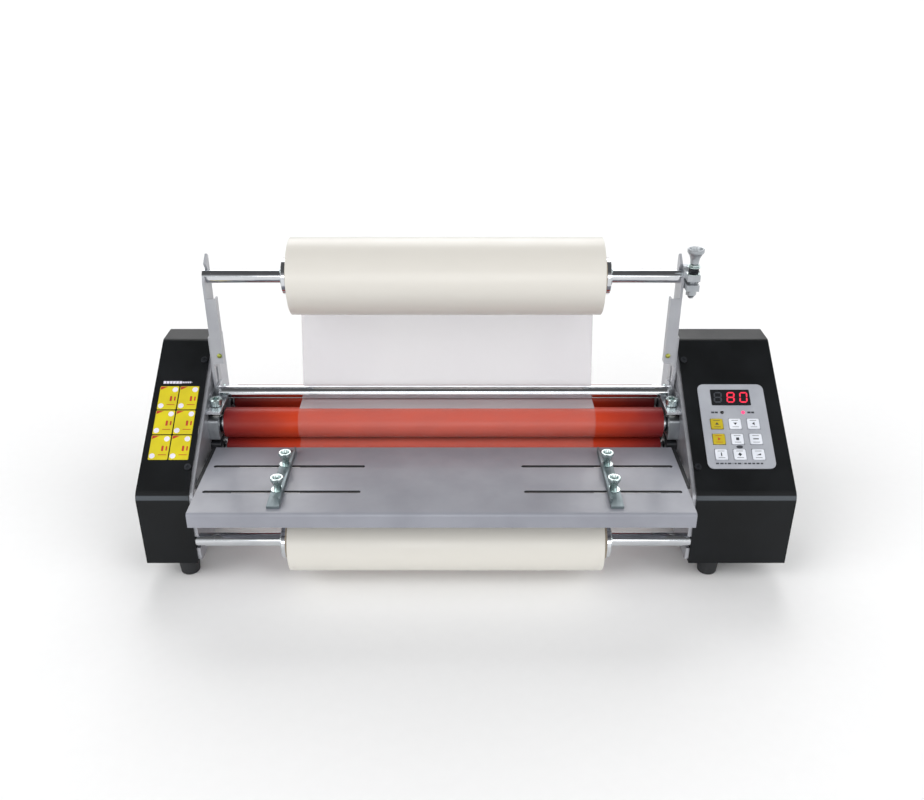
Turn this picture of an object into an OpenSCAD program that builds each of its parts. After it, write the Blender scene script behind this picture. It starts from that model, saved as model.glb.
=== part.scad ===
// Desktop roll laminator with four rollers, two film rolls and a feed table.
// The machine frame has X across the work section, Y from the front of the cases
// to the back, and Z up from the floor; at_work() moves it to the part's origin,
// which is the centre of the whole part's footprint, on the floor.

/* [Cases] */
// Overall width over both side cases
overall_w = 510; // [500:1:520]
// Width of the left case
left_case_w = 41; // [38:1:44]
// Width of the right case, which holds the drive and the electronics
right_case_w = 77; // [75:1:82]
// Depth of the cases
case_d = 145; // [144:1:150]
// Height of the top of the cases above the floor
case_top_z = 161; // [160:1:164]
// Height at which the front face bends into the sloping panel
front_z = 81; // [80:1:83]
// Depth at which the sloping panel meets the flat top
slope_end_y = 119; // [118:1:121]
// Sheet thickness of the painted covers
cover_t = 1.2; // [1:0.1:1.5]
// Thickness of the steel side plates
plate_t = 3; // [2.5:0.1:3]
// Height of the rubber feet
foot_h = 18; // [16:1:20]

/* [Rollers] */
// Outer radius of the silicone rollers
roller_r = 12.5; // [12.4:0.1:12.5]
// Half of the rubber-covered length
roller_half = 180; // [176:1:180]
// Distance of the front roller pair behind the case front
front_roller_y = 76; // [76:1:77]
// Height of the nip between the rollers
nip_z = 92; // [92:1:92]
// Open gap between an upper and a lower roller
nip_gap = 1; // [1:0.1:1]
// Gear module, in millimetres
gear_m = 1; // [1:0.1:1]
// Teeth on each roller gear
roller_teeth = 26; // [26:1:26]
// Teeth on the idler and on the motor pinion
small_teeth = 16; // [16:1:16]

/* [Film] */
// Radius of the upper film roll
upper_film_r = 30.6; // [22:0.2:32]
// Radius of the lower film roll
lower_film_r = 24.5; // [20:0.5:25]
// Half of the film width
film_half = 121.5; // [100:0.5:122]
// Radius of both film shafts
shaft_r = 5.5; // [5.5:0.1:5.5]
// Height of the upper film shaft
film_shaft_z = 224; // [222:1:226]
// Thickness of the film webs
film_t = 0.2; // [0.2:0.05:0.2]
// Distance of the film path's middle to the right of the rollers' middle
film_x = 2.5; // [0:0.5:3]

/* [Feed table] */
// Distance that the table stands out in front of the cases
table_out = 37; // [30:1:40]
// Half of the table's width
table_half = 187; // [185:1:187]
// Height of the table's top face
table_z = 90; // [89:0.5:90]
// Distance of each paper guide's clamp screws from the film path's middle
guide_x = 127; // [127:0.5:133]

/* [Hidden] */
$fn = 48;

eps = 0.01;
cover_half = (overall_w - left_case_w - right_case_w) / 2;
plate_in = cover_half - plate_t;
rocker_out = 4;
work_x = (left_case_w - right_case_w) / 2;
work_y = (table_out - case_d - rocker_out) / 2;
left_end = -cover_half - left_case_w;
right_end = cover_half + right_case_w;

slope = atan2(case_top_z - front_z, slope_end_y);
gear_r = gear_m * roller_teeth / 2;
small_r = gear_m * small_teeth / 2;
idler_y = front_roller_y + gear_r + small_r;
rear_roller_y = idler_y + gear_r + small_r;
upper_z = nip_z + nip_gap / 2 + roller_r;
lower_z = nip_z - nip_gap / 2 - roller_r;
roller_ys = [front_roller_y, rear_roller_y];
pinion_z = lower_z - gear_r - small_r;
journal_r = 6;
lamp_bore_r = 4.5;
journal_left = -cover_half - 3;
journal_right = cover_half + 13;
gear_x0 = cover_half + 3.5;
gear_w = 8;
bearing_in = plate_in - 8.5;
bearing_run = 0.05;

bar_y = 95;
bar_z = 123.6;
bar_r = 5.5;
bridge_z = 119;
bridge_t = 2;
rear_bridge_z = 114.6;
cup_z = upper_z + 7;
film_shaft_y = 100;
lower_shaft_y = 6;
lower_shaft_z = 37;
film_half_roll = film_half + 1.5;
core_r = 15.5;
core_in_r = 12.7;
web_gap = 0.25;
web_r = roller_r + web_gap + film_t / 2;
roll_gap = 0.3;

web_in = plate_in - 5.5;
upright_y0 = 90;
upright_y1 = 110;
slot_ys = [-7, 30];
slot_hw = 1.8;
table_back = 60;
table_t = 1.8;
guide_ends = [-30, 52];
fence_step = 6;
panel_x = 234.1;
panel_v = 61.2;
panel_size = [53.6, 75.8];
panel_t = 1.2;
key_size = [9.6, 9];
key_pitch = [14.6, 13.6];
key_top_v = 62.4;
key_x = 233.5;
brake_x = 195;
brake_y = film_shaft_y - 13.5;
inlet_x = 240;
inlet_z = 62;
rocker_z = 98;
rocker_pivot_y = case_d - 3;
rocker_pin_r = 1.5;

// ---- helpers ----
module at_work() translate([work_x, work_y, 0]) children();

// Extrudes a flat (y, z) shape along X from x0 to x1.
module yz(x0, x1) translate([x0, 0, 0]) rotate([90, 0, 90]) linear_extrude(x1 - x0) children();

module rod_x(y, z, r, x0, x1) translate([x0, y, z]) rotate([0, 90, 0]) cylinder(h = x1 - x0, r = r);

module post(x, y, z0, z1, r, sides = 48) translate([x, y, z0]) cylinder(h = z1 - z0, r = r, $fn = sides);

module block(low, high) translate(low) cube(high - low);

// Puts children on the sloping panel: x across, y up the slope, z straight out of it.
module on_slope(x, v, w = 0)
    translate([x, 0, front_z]) rotate([slope, 0, 0]) translate([0, v, w]) children();

function arc(c, r, a0, a1, n) =
    [for (i = [0 : n]) c + r * [cos(a0 + (a1 - a0) * i / n), sin(a0 + (a1 - a0) * i / n)]];

function unit(v) = v / norm(v);

function turn(a) = (a + 540) % 360 - 180;

// Rounds corner p, between its neighbours a and b, with radius r.
function corner(a, p, b, r, n) =
    let (u = unit(a - p), w = unit(b - p), half = acos(u * w) / 2,
         c = p + unit(u + w) * r / sin(half), t = r / tan(half),
         s = p + u * t - c, e = p + w * t - c,
         a0 = atan2(s[1], s[0]), da = turn(atan2(e[1], e[0]) - a0))
    arc(c, r, a0, a0 + da, n);

function rounded(pts, radii, n = 5) =
    [for (i = [0 : len(pts) - 1])
        each radii[i] == 0 ? [pts[i]] :
            corner(pts[(i + len(pts) - 1) % len(pts)], pts[i], pts[(i + 1) % len(pts)], radii[i], n)];

function right_of(a, b) = let (d = unit(b - a)) [d[1], -d[0]];

// Moves every edge of a clockwise outline inwards by t.
function inset(pts, t) =
    [for (i = [0 : len(pts) - 1])
        let (n = len(pts), m = right_of(pts[(i + n - 1) % n], pts[i]), k = right_of(pts[i], pts[(i + 1) % n]))
        pts[i] + t * (m + k) / (1 + m * k)];

module rounded_rect(size, r) polygon(rounded(
    [[-size[0] / 2, -size[1] / 2], [-size[0] / 2, size[1] / 2], [size[0] / 2, size[1] / 2], [size[0] / 2, -size[1] / 2]],
    [r, r, r, r]));

// Side of point i on a ribbon of thickness t that follows the points p.
function ribbon_edge(p, t) =
    [for (i = [0 : len(p) - 1])
        let (d = unit(p[min(i + 1, len(p) - 1)] - p[max(i - 1, 0)])) p[i] + t * [-d[1], d[0]]];

function reversed(p) = [for (i = [len(p) - 1 : -1 : 0]) p[i]];

module ribbon(p, t) polygon(concat(ribbon_edge(p, t / 2), reversed(ribbon_edge(p, -t / 2))));

// ---- side cases ----
case_outline = [[0, foot_h], [0, front_z], [slope_end_y, case_top_z], [case_d, case_top_z], [case_d, foot_h]];
case_bends = [0, 9, 7, 4, 0];

function open_bottom(pts) = [for (p = pts) [p[0], p[1] < foot_h + 5 ? foot_h - 1 : p[1]]];

// Painted sheet cover, open at the bottom and towards the side plate.
module cover_shell(x0, x1, open_left) {
    shift = open_left ? -1 : 1;
    inner = [for (i = [0 : 4]) case_bends[i] == 0 ? 0 : case_bends[i] - cover_t];
    difference() {
        yz(x0, x1) polygon(rounded(case_outline, case_bends));
        yz(x0 + shift * cover_t, x1 + shift * cover_t)
            polygon(rounded(open_bottom(inset(case_outline, cover_t)), inner));
    }
}

module rear_vents(x0, count, z0, z1)
    for (i = [0 : count - 1])
        block([x0 + 7 * i, case_d - 3, z0], [x0 + 7 * i + 3, case_d + 1, z1]);

module left_cover() color("#1b1d21") at_work() difference() {
    cover_shell(left_end, -cover_half, false);
    rear_vents(left_end + 9, 4, 40, 70);
    for (v = screw_vs) on_slope(-screw_x, v, -5) cylinder(h = 10, r = screw_hole_r);
}

module right_cover() color("#1b1d21") at_work() difference() {
    cover_shell(cover_half, right_end, true);
    rear_vents(cover_half + 9, 3, 40, 70);
    for (v = screw_vs) on_slope(screw_x, v, -5) cylinder(h = 10, r = screw_hole_r);
    on_slope(panel_x, panel_v, -5) linear_extrude(10) square([47, 70], center = true);
    block([inlet_x - 14, case_d - 3, inlet_z - 12], [inlet_x + 14, case_d + 1, rocker_z + 14]);
}

plate_outline = inset(case_outline, cover_t + 0.3);
screw_x = cover_half + 3.5;
screw_vs = [25, 123];
screw_hole_r = 1.6;

// Steel side plate, with bearing holes, film slot and screw tabs; drawn for the right side.
module side_plate_right() {
    difference() {
        yz(plate_in, cover_half) polygon(rounded(plate_outline, [3, 7, 6, 3, 3]));
        for (y = roller_ys) {
            rod_x(y, lower_z, journal_r + 1, plate_in - 1, cover_half + 1);
            yz(plate_in - 1, cover_half + 1) {
                translate([y, upper_z]) circle(r = journal_r + 1);
                translate([y, upper_z + 6]) circle(r = journal_r + 1);
                translate([y - journal_r - 1, upper_z]) square([2 * journal_r + 2, 6]);
            }
        }
        yz(plate_in - 1, cover_half + 1) {
            translate([lower_shaft_y, lower_shaft_z]) circle(r = shaft_r + 0.1);
            translate([-4, lower_shaft_z - shaft_r - 0.1]) square([lower_shaft_y + 4, 2 * shaft_r + 0.2]);
        }
    }
    for (v = screw_vs) difference() {
        on_slope(cover_half - eps, v - 6, -cover_t - 2) cube([9, 12, 2]);
        on_slope(screw_x, v, -5) cylinder(h = 10, r = screw_hole_r);
    }
    for (y = [20, 50])
        rod_x(y, table_z - 7, 2.5, table_half - 3.6, plate_in + eps);
}

module left_side_plate() color("#a9a9ae") at_work() mirror([1, 0, 0]) side_plate_right();

module right_side_plate() color("#a9a9ae") at_work() {
    side_plate_right();
    rod_x(idler_y, lower_z, 3, cover_half - eps, gear_x0 + gear_w + 2);
}

base_t = 2;
module base_plates() color("#2c2f33") at_work()
    for (x = [[left_end + cover_t + 0.2, -cover_half], [cover_half, right_end - cover_t - 0.2]])
        block([x[0], cover_t + 0.3, foot_h], [x[1], case_d - cover_t - 0.3, foot_h + base_t]);

foot_xs = [-208, 216];
module rubber_feet() color("#15171a") at_work()
    for (x = foot_xs, y = [15, case_d - 15])
        translate([x, y, 0]) rotate_extrude()
            polygon(rounded([[0, 0], [0, foot_h], [9, foot_h], [7.5, 0]], [0, 0, 1, 1.5]));

module tie_rods() color("#b9bbc0") at_work()
    for (p = [[66, 32], [130, 40]])
        rod_x(p[0], p[1], 4, -plate_in, plate_in);

module slope_screw(x, v) on_slope(x, v) difference() {
    union() {
        cylinder(h = 1.3, r = 2.7);
        translate([0, 0, -3.2]) cylinder(h = 3.2, r = 1.5);
    }
    for (a = [0, 90]) rotate(a) translate([0, 0, 1.1]) cube([3, 0.7, 1.2], center = true);
}

upright_screw_zs = [158, 167];
module cover_screws() color("#3a3d42") at_work() {
    for (s = [-1, 1], v = screw_vs) slope_screw(s * screw_x, v);
    for (s = [-1, 1], z = upright_screw_zs)
        rod_x(100, z, 2.2, s > 0 ? web_in - 1.5 : -web_in, s > 0 ? web_in : -web_in + 1.5);
}

// ---- film supports ----
slot_lean = 35;

// Shaft slot of an upright, open towards the upper front.
module shaft_mouth() translate([film_shaft_y, film_shaft_z]) {
    circle(r = shaft_r + 0.1);
    rotate(slot_lean) translate([-shaft_r - 0.1, 0]) square([2 * shaft_r + 0.2, 40]);
}

module upright_right() {
    yz(web_in, web_in + 2) difference() {
        polygon([[upright_y0, 150], [upright_y0, 222], [94, 230], [108, 240], [upright_y1, 238], [upright_y1, 150]]);
        shaft_mouth();
    }
    block([web_in - 7, upright_y0, 152], [web_in + eps, upright_y0 + 2, 208]);
    block([web_in - 7, upright_y0 + 2 - eps, 152], [web_in - 5.5, upright_y0 + 7, 208]);
    difference() {
        block([web_in + 2 - eps, 92.5, bridge_z + bridge_t], [web_in + 4, upright_y1, 174]);
        yz(web_in, web_in + 5) translate([100, 134]) {
            circle(r = 2.2);
            translate([0, 9]) circle(r = 2.2);
            translate([-2.2, 0]) square([4.4, 9]);
        }
    }
}

module left_upright() color("#b4b6bb") at_work() mirror([1, 0, 0]) upright_right();

module right_upright() color("#b4b6bb") at_work() upright_right();

module film_guide_bar() color("#d5d8dc") at_work()
    rod_x(bar_y, bar_z, bar_r, -web_in + 0.5, web_in - 0.5);

module bridge_right() {
    difference() {
        block([plate_in - 12, 63, bridge_z], [plate_in, 110, bridge_z + bridge_t]);
        post(web_in - 0.5, front_roller_y, bridge_z - 1, bridge_z + 4, 3);
        rod_x(bar_y, bar_z, bar_r + 0.1, plate_in - 13, web_in - 0.4);
    }
    block([plate_in - 1.5, front_roller_y + 6, bridge_z + bridge_t - eps], [plate_in, 108, 127]);
    block([plate_in - 12, rear_roller_y - 7, rear_bridge_z], [plate_in, rear_roller_y + 4, rear_bridge_z + bridge_t]);
    difference() {
        block([web_in - 0.5, bar_y - 7.5, bridge_z + bridge_t - eps], [web_in + 1.5, bar_y + 7.5, 131.5]);
        rod_x(bar_y, bar_z + 3.5, 1.6, web_in - 1, web_in + 4);
    }
}

module pressure_bridges() color("#b0b2b7") at_work() {
    bridge_right();
    mirror([1, 0, 0]) bridge_right();
}

// ---- bearings and pressure ----
module bearing(x0, y, z, low, high) difference() {
    yz(x0, x0 + plate_in - bearing_in)
        polygon(rounded([[y - 11, z + low], [y - 11, z + high], [y + 11, z + high], [y + 11, z + low]], [2, 2, 2, 2]));
    rod_x(y, z, journal_r + bearing_run, x0 - 1, x0 + 12);
}

module bearing_set(z, low, high)
    for (x0 = [-plate_in, bearing_in], y = roller_ys) bearing(x0, y, z, low, high);

module lower_bearings() color("#202226") at_work() bearing_set(lower_z, -11.5, 12);

module upper_bearings() color("#c9ccd0") at_work() bearing_set(upper_z, -11.5, 7);

cup_r = 4.8;
module spring_cups() color("#eceded") at_work()
    for (s = [-1, 1]) {
        post(s * (web_in - 0.5), front_roller_y, cup_z, bridge_z - 0.4, cup_r);
        post(s * (web_in - 0.5), rear_roller_y, cup_z, rear_bridge_z, cup_r);
    }

module pressure_screw(s) translate([s * (web_in - 0.5), front_roller_y, 0]) difference() {
    union() {
        translate([0, 0, bridge_z + bridge_t + 0.3]) cylinder(h = 6, r = 5);
        translate([0, 0, bridge_z - 0.2]) cylinder(h = 4, r = 2.92);
    }
    translate([0, 0, bridge_z + bridge_t + 3]) cylinder(h = 5, r = 2.4);
}

module left_pressure_screw() color("#c4c6ca") at_work() pressure_screw(-1);

module right_pressure_screw() color("#c4c6ca") at_work() pressure_screw(1);

// ---- rollers and gears ----
module tube_x(y, z, outer, inner, x0, x1) difference() {
    rod_x(y, z, outer, x0, x1);
    rod_x(y, z, inner, x0 - 1, x1 + 1);
}

sleeve_t = 2;
module sleeve(y, z) tube_x(y, z, roller_r, roller_r - sleeve_t, -roller_half, roller_half);

module core(y, z) difference() {
    union() {
        rod_x(y, z, roller_r - sleeve_t, -roller_half, roller_half);
        rod_x(y, z, journal_r + 2, -roller_half - 2, roller_half + 2);
        rod_x(y, z, journal_r, journal_left, journal_right);
    }
    rod_x(y, z, lamp_bore_r, journal_left - 1, journal_right + 1);
}

module front_lower_sleeve() color("#a8382a") at_work() sleeve(front_roller_y, lower_z);

module front_lower_core() color("#b7b9bd") at_work() core(front_roller_y, lower_z);

module front_upper_sleeve() color("#b0402a") at_work() sleeve(front_roller_y, upper_z);

module front_upper_core() color("#b7b9bd") at_work() core(front_roller_y, upper_z);

module rear_lower_roller() color("#a8322a") at_work() {
    sleeve(rear_roller_y, lower_z);
    core(rear_roller_y, lower_z);
}

module rear_upper_roller() color("#a8322a") at_work() {
    sleeve(rear_roller_y, upper_z);
    core(rear_roller_y, upper_z);
}

// Outline of a spur gear with straight-sided teeth and running backlash.
function gear_outline(teeth, phase) =
    let (root = gear_m * (teeth / 2 - 1.2), tip = gear_m * (teeth / 2 + 0.9), step = 360 / teeth)
    [for (i = [0 : teeth - 1], k = [[root, -0.29], [tip, -0.11], [tip, 0.11], [root, 0.29]])
        k[0] * [cos(phase + step * (i + k[1])), sin(phase + step * (i + k[1]))]];

module spur(y, z, teeth, phase, bore) difference() {
    translate([0, y, z]) yz(gear_x0, gear_x0 + gear_w) polygon(gear_outline(teeth, phase));
    rod_x(y, z, bore, gear_x0 - 1, gear_x0 + gear_w + 1);
}

half_tooth = 180 / roller_teeth;
module roller_gear(y, z, phase) spur(y, z, roller_teeth, phase, journal_r);

module front_lower_gear() color("#d9d4c4") at_work() roller_gear(front_roller_y, lower_z, 0);

module front_upper_gear() color("#d9d4c4") at_work() roller_gear(front_roller_y, upper_z, half_tooth);

module rear_lower_gear() color("#d9d4c4") at_work() roller_gear(rear_roller_y, lower_z, 0);

module rear_upper_gear() color("#d9d4c4") at_work() roller_gear(rear_roller_y, upper_z, half_tooth);

module idler_gear() color("#c9a24a") at_work() spur(idler_y, lower_z, small_teeth, 180 / small_teeth, 3.05);

module motor_pinion() color("#c9a24a") at_work() {
    spur(front_roller_y, pinion_z, small_teeth, 0, 3);
    rod_x(front_roller_y, pinion_z, 3, gear_x0, bracket_x + 2 - 0.3);
}

bracket_x = cover_half + 15;
motor_drop = 7;
module motor_bracket() color("#9fa2a7") at_work() {
    difference() {
        block([bracket_x, 48, 28], [bracket_x + 2, 110, 68]);
        rod_x(front_roller_y, pinion_z, 5, bracket_x - 1, bracket_x + 3);
    }
    for (p = [[53, 33], [104, 33], [53, 62], [104, 60]])
        rod_x(p[0], p[1], 3.5, cover_half, bracket_x + eps);
}

module gear_motor() color("#8d9096") at_work() {
    z = pinion_z - motor_drop;
    rod_x(front_roller_y, z, 18, bracket_x + 2, bracket_x + 24);
    rod_x(front_roller_y, z, 17, bracket_x + 24 - eps, bracket_x + 54);
    rod_x(front_roller_y, z, 6, bracket_x + 54 - eps, bracket_x + 57);
}

lamp_r = 3.6;
module heater_lamps() color("#e8e4d8") at_work()
    for (z = [lower_z, upper_z]) {
        rod_x(front_roller_y, z, lamp_r, -cover_half - 12, cover_half + 18);
        rod_x(front_roller_y, z, 5.5, -cover_half - 22, -cover_half - 12 + eps);
        rod_x(front_roller_y, z, 5.5, cover_half + 18 - eps, cover_half + 28);
    }

// ---- film ----
// Film roll holder: a shaft with two clamped cone chucks.
module chuck_right(y, z) {
    rod_x(y, z, core_in_r - 0.05, film_half_roll - 9, film_half_roll + 3);
    rod_x(y, z, core_r - 1, film_half_roll + 3 - eps, film_half_roll + 6);
    rod_x(y, z, 7.5, film_half_roll + 6 - eps, film_half_roll + 8);
}

module film_shaft(y, z, x0, x1) {
    rod_x(y, z, shaft_r, x0, x1);
    translate([film_x, 0, 0]) {
        chuck_right(y, z);
        mirror([1, 0, 0]) chuck_right(y, z);
    }
}

module film_roll(y, z, r) translate([film_x, 0, 0]) {
    tube_x(y, z, core_r, core_in_r, -film_half_roll - 3, film_half_roll + 3);
    tube_x(y, z, r, core_r, -film_half_roll, film_half_roll);
}

module upper_film_shaft() color("#d5d8dc") at_work()
    film_shaft(film_shaft_y, film_shaft_z, -web_in - 3, web_in + 15);

module upper_film_roll() color("#f1f1ee") at_work() film_roll(film_shaft_y, film_shaft_z, upper_film_r);

module lower_film_shaft() color("#d5d8dc") at_work()
    film_shaft(lower_shaft_y, lower_shaft_z, -cover_half, cover_half);

module lower_film_roll() color("#f1f1ee") at_work() film_roll(lower_shaft_y, lower_shaft_z, lower_film_r);

// Angle of the tangent point on circle a, for the line that crosses between circles a and b.
function crossed(a, ra, b, rb, side) =
    let (d = b - a) atan2(d[1], d[0]) + side * acos((ra + rb) / norm(d));

// Angle of the tangent points of the line that keeps circles a and b on one side.
function outer(a, ra, b, rb, side) =
    let (d = b - a) atan2(d[1], d[0]) + side * acos((ra - rb) / norm(d));

upper_roll_c = [film_shaft_y, film_shaft_z];
bar_c = [bar_y, bar_z];
front_upper_c = [front_roller_y, upper_z];
front_lower_c = [front_roller_y, lower_z];
lower_roll_c = [lower_shaft_y, lower_shaft_z];
upper_path_r = upper_film_r + roll_gap + film_t / 2;
lower_path_r = lower_film_r + roll_gap + film_t / 2;
bar_path_r = bar_r + 0.1 + film_t / 2;
tail_y = rear_roller_y + 17;

module upper_film_web() color("#d8d6da") at_work() {
    leave = outer(upper_roll_c, upper_path_r, bar_c, bar_path_r, 1);
    cross = crossed(bar_c, bar_path_r, front_upper_c, web_r, 1);
    path = concat(
        arc(upper_roll_c, upper_path_r, leave + 25, leave, 6),
        arc(bar_c, bar_path_r, leave, cross, 8),
        arc(front_upper_c, web_r, cross + 180, 270, 24),
        [[tail_y, upper_z - web_r]]);
    yz(film_x - film_half, film_x + film_half) ribbon(path, film_t);
}

module lower_film_web() color("#d8d6da") at_work() {
    leave = crossed(lower_roll_c, lower_path_r, front_lower_c, web_r, -1);
    path = concat(
        arc(lower_roll_c, lower_path_r, leave - 25, leave, 6),
        arc(front_lower_c, web_r, leave + 180, 90, 10),
        [[tail_y, lower_z + web_r]]);
    yz(film_x - film_half, film_x + film_half) ribbon(path, film_t);
}

lug = [[82, 217.5], [94.5, 230.5]];
module brake_clamp() color("#a3a6ab") at_work() difference() {
    union() {
        rod_x(film_shaft_y, film_shaft_z, 9.5, web_in + 2, web_in + 12.5);
        block([web_in + 2.5, lug[0][0], lug[0][1]], [web_in + 12.5, lug[1][0], lug[1][1]]);
        post(brake_x, brake_y, 213.5, 218, 4.2, 6);
    }
    rod_x(film_shaft_y, film_shaft_z, shaft_r + bearing_run, web_in, web_in + 14);
    block([web_in, 80, film_shaft_z - 1.5], [web_in + 14, film_shaft_y, film_shaft_z + 1.5]);
    post(brake_x, brake_y, 210, 235, 2.55);
}

// Flared thumbscrew head with a recessed top, standing on z = 0.
module trumpet(neck, rim, h) rotate_extrude() polygon([
    [0, 0], [neck, 0], [neck, 0.35 * h], [rim, 0.75 * h], [rim, h], [rim - 1.4, h], [rim - 1.8, 0.8 * h], [0, 0.8 * h]]);

module brake_screw() color("#9ea1a6") at_work() translate([brake_x, brake_y, 0]) {
    translate([0, 0, 239]) trumpet(3.4, 6.5, 12);
    translate([0, 0, 211]) cylinder(h = 28 + eps, r = 2.5);
}

// ---- feed table and guides ----
module table_slot(x0, x1, y) {
    post(x0 + slot_hw, y, table_z - 5, table_z + 1, slot_hw);
    post(x1 - slot_hw, y, table_z - 5, table_z + 1, slot_hw);
    block([x0 + slot_hw, y - slot_hw, table_z - 5], [x1 - slot_hw, y + slot_hw, table_z + 1]);
}

lip_h = 12;
slot_x = [62, 182];
table_outline = [[-table_out, table_z - lip_h], [-table_out, table_z], [table_back, table_z], [table_back, table_z - table_t],
                 [-table_out + table_t, table_z - table_t], [-table_out + table_t, table_z - lip_h]];
module feed_table() color("#9698a0") at_work() difference() {
    union() {
        yz(-table_half, table_half) polygon(rounded(table_outline, [0, 2.5, 0, 0, 1, 0]));
        for (x0 = [-table_half, table_half - table_t])
            block([x0, 8, table_z - 13], [x0 + table_t, table_back, table_z - table_t + eps]);
    }
    for (y = slot_ys, s = [[-slot_x[1], -slot_x[0]], slot_x]) table_slot(s[0], s[1], y);
    for (y = [20, 50]) rod_x(y, table_z - 7, 2.6, -table_half - 1, -table_half + 3);
    for (y = [20, 50]) rod_x(y, table_z - 7, 2.6, table_half - 3, table_half + 1);
}

guide_z = table_z + 0.1;
module guide_right() {
    difference() {
        union() {
            block([guide_x - 4.8, guide_ends[0], guide_z], [guide_x + 4.8, guide_ends[1], guide_z + 2]);
            block([guide_x - 4.8, guide_ends[0] + fence_step, guide_z], [guide_x - 3.2, guide_ends[1], guide_z + 5]);
        }
        for (y = slot_ys) post(guide_x, y, guide_z - 1, guide_z + 3, 1.8);
    }
    for (y = slot_ys) difference() {
        post(guide_x, y, table_z - table_t - 3.2, table_z - table_t - 0.2, 4, 6);
        post(guide_x, y, table_z - 8, table_z, 1.75);
    }
}

module left_guide() color("#6d787c") at_work() translate([film_x, 0, 0]) mirror([1, 0, 0]) guide_right();

module right_guide() color("#6d787c") at_work() translate([film_x, 0, 0]) guide_right();

module thumbscrew(s, y) translate([film_x + s * guide_x, y, 0]) {
    translate([0, 0, guide_z + 2.1]) trumpet(2.8, 4.9, 11);
    translate([0, 0, table_z - 6]) cylinder(h = 8.2 + 0.1, r = 1.65);
}

module left_front_thumbscrew() color("#c5d5d5") at_work() thumbscrew(-1, slot_ys[0]);

module left_rear_thumbscrew() color("#c5d5d5") at_work() thumbscrew(-1, slot_ys[1]);

module right_front_thumbscrew() color("#c5d5d5") at_work() thumbscrew(1, slot_ys[0]);

module right_rear_thumbscrew() color("#c5d5d5") at_work() thumbscrew(1, slot_ys[1]);

// ---- controls and electronics ----
display_v = 86.6;
display_size = [31, 14.6];
function key_at(k) = [key_x + (k % 3 - 1) * key_pitch[0], key_top_v - floor(k / 3) * key_pitch[1]];

module control_panel() color("#a5a8ae") at_work() difference() {
    on_slope(panel_x, panel_v) linear_extrude(panel_t) rounded_rect(panel_size, 5);
    for (k = [0 : 8])
        on_slope(key_at(k)[0], key_at(k)[1], -1) linear_extrude(5) square(key_size + [0.6, 0.6], center = true);
}

board_w = -6.6;
module circuit_boards() color("#2f6b46") at_work() {
    on_slope(panel_x, panel_v, board_w) {
        linear_extrude(1.6) square([46, 71], center = true);
        for (x = [-20.5, 20.5], v = [-33.3, 33.3])
            translate([x, v, 1.6 - eps]) cylinder(h = -board_w - 1.6 + eps, r = 1.5);
    }
    for (k = [0 : 8])
        on_slope(key_at(k)[0], key_at(k)[1], board_w + 1.6 - eps) linear_extrude(2.8) square([6, 6], center = true);
    on_slope(key_x, display_v, board_w + 1.6 - eps) linear_extrude(4.8) square(display_size, center = true);
    power_board();
}

module power_board() {
    x0 = cover_half + 14;
    y0 = 97;
    z0 = foot_h + base_t;
    block([x0, y0, z0 + 6], [x0 + 56, y0 + 42, z0 + 7.6]);
    for (x = [x0 + 5, x0 + 51], y = [y0 + 5, y0 + 37]) post(x, y, z0, z0 + 6 + eps, 2.5);
    block([x0 + 6, y0 + 8, z0 + 7.6 - eps], [x0 + 30, y0 + 32, z0 + 27]);
    post(x0 + 42, y0 + 12, z0 + 7.6 - eps, z0 + 26, 6);
    block([x0 + 36, y0 + 24, z0 + 7.6 - eps], [x0 + 52, y0 + 33, z0 + 20]);
}

module key_cap(k) on_slope(key_at(k)[0], key_at(k)[1]) {
    translate([0, 0, -0.4]) linear_extrude(panel_t + 0.7 + 0.4) rounded_rect(key_size, 1);
    translate([0, 0, -1.5]) linear_extrude(1.2) square(key_size + [1.8, 1.8], center = true);
}

module key_1() color("#b8a818") at_work() key_cap(0);
module key_2() color("#e0e3ea") at_work() key_cap(1);
module key_3() color("#e0e3ea") at_work() key_cap(2);
module key_4() color("#b8a818") at_work() key_cap(3);
module key_5() color("#e0e3ea") at_work() key_cap(4);
module key_6() color("#e0e3ea") at_work() key_cap(5);
module key_7() color("#e0e3ea") at_work() key_cap(6);
module key_8() color("#e0e3ea") at_work() key_cap(7);
module key_9() color("#e0e3ea") at_work() key_cap(8);

// Mains inlet with three pins below a rocker switch, in one moulded body.
module power_inlet() color("#1a1b1e") at_work() {
    difference() {
        union() {
            block([inlet_x - 16, case_d, inlet_z - 14], [inlet_x + 16, case_d + 2, rocker_z + 16]);
            block([inlet_x - 13.5, case_d - 22, inlet_z - 11.5], [inlet_x + 13.5, case_d + eps, rocker_z + 13.5]);
        }
        block([inlet_x - 11.5, case_d - 17, inlet_z - 8], [inlet_x + 11.5, case_d + 3, inlet_z + 8]);
        block([inlet_x - 8, case_d - 14, rocker_z - 12.4], [inlet_x + 8, case_d + 3, rocker_z + 12.4]);
        rod_x(rocker_pivot_y, rocker_z, rocker_pin_r + 0.05, inlet_x - 10.1, inlet_x + 10.1);
    }
    for (p = [[-7, -2], [7, -2], [0, 2]])
        block([inlet_x + p[0] - 1, case_d - 17 - eps, inlet_z + p[1] - 2.5],
              [inlet_x + p[0] + 1, case_d - 2, inlet_z + p[1] + 2]);
}

// Two-position rocker on a round pin that turns in the switch body.
module power_rocker() color("#8a1f22") at_work() {
    yz(inlet_x - 7.6, inlet_x + 7.6) polygon([
        [rocker_pivot_y - 6, rocker_z - 4], [case_d + rocker_out, rocker_z - 10.3],
        [rocker_pivot_y + 4, rocker_z], [case_d + 1.2, rocker_z + 10.3], [rocker_pivot_y - 6, rocker_z + 4]]);
    rod_x(rocker_pivot_y, rocker_z, rocker_pin_r, inlet_x - 10, inlet_x + 10);
}

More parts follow.
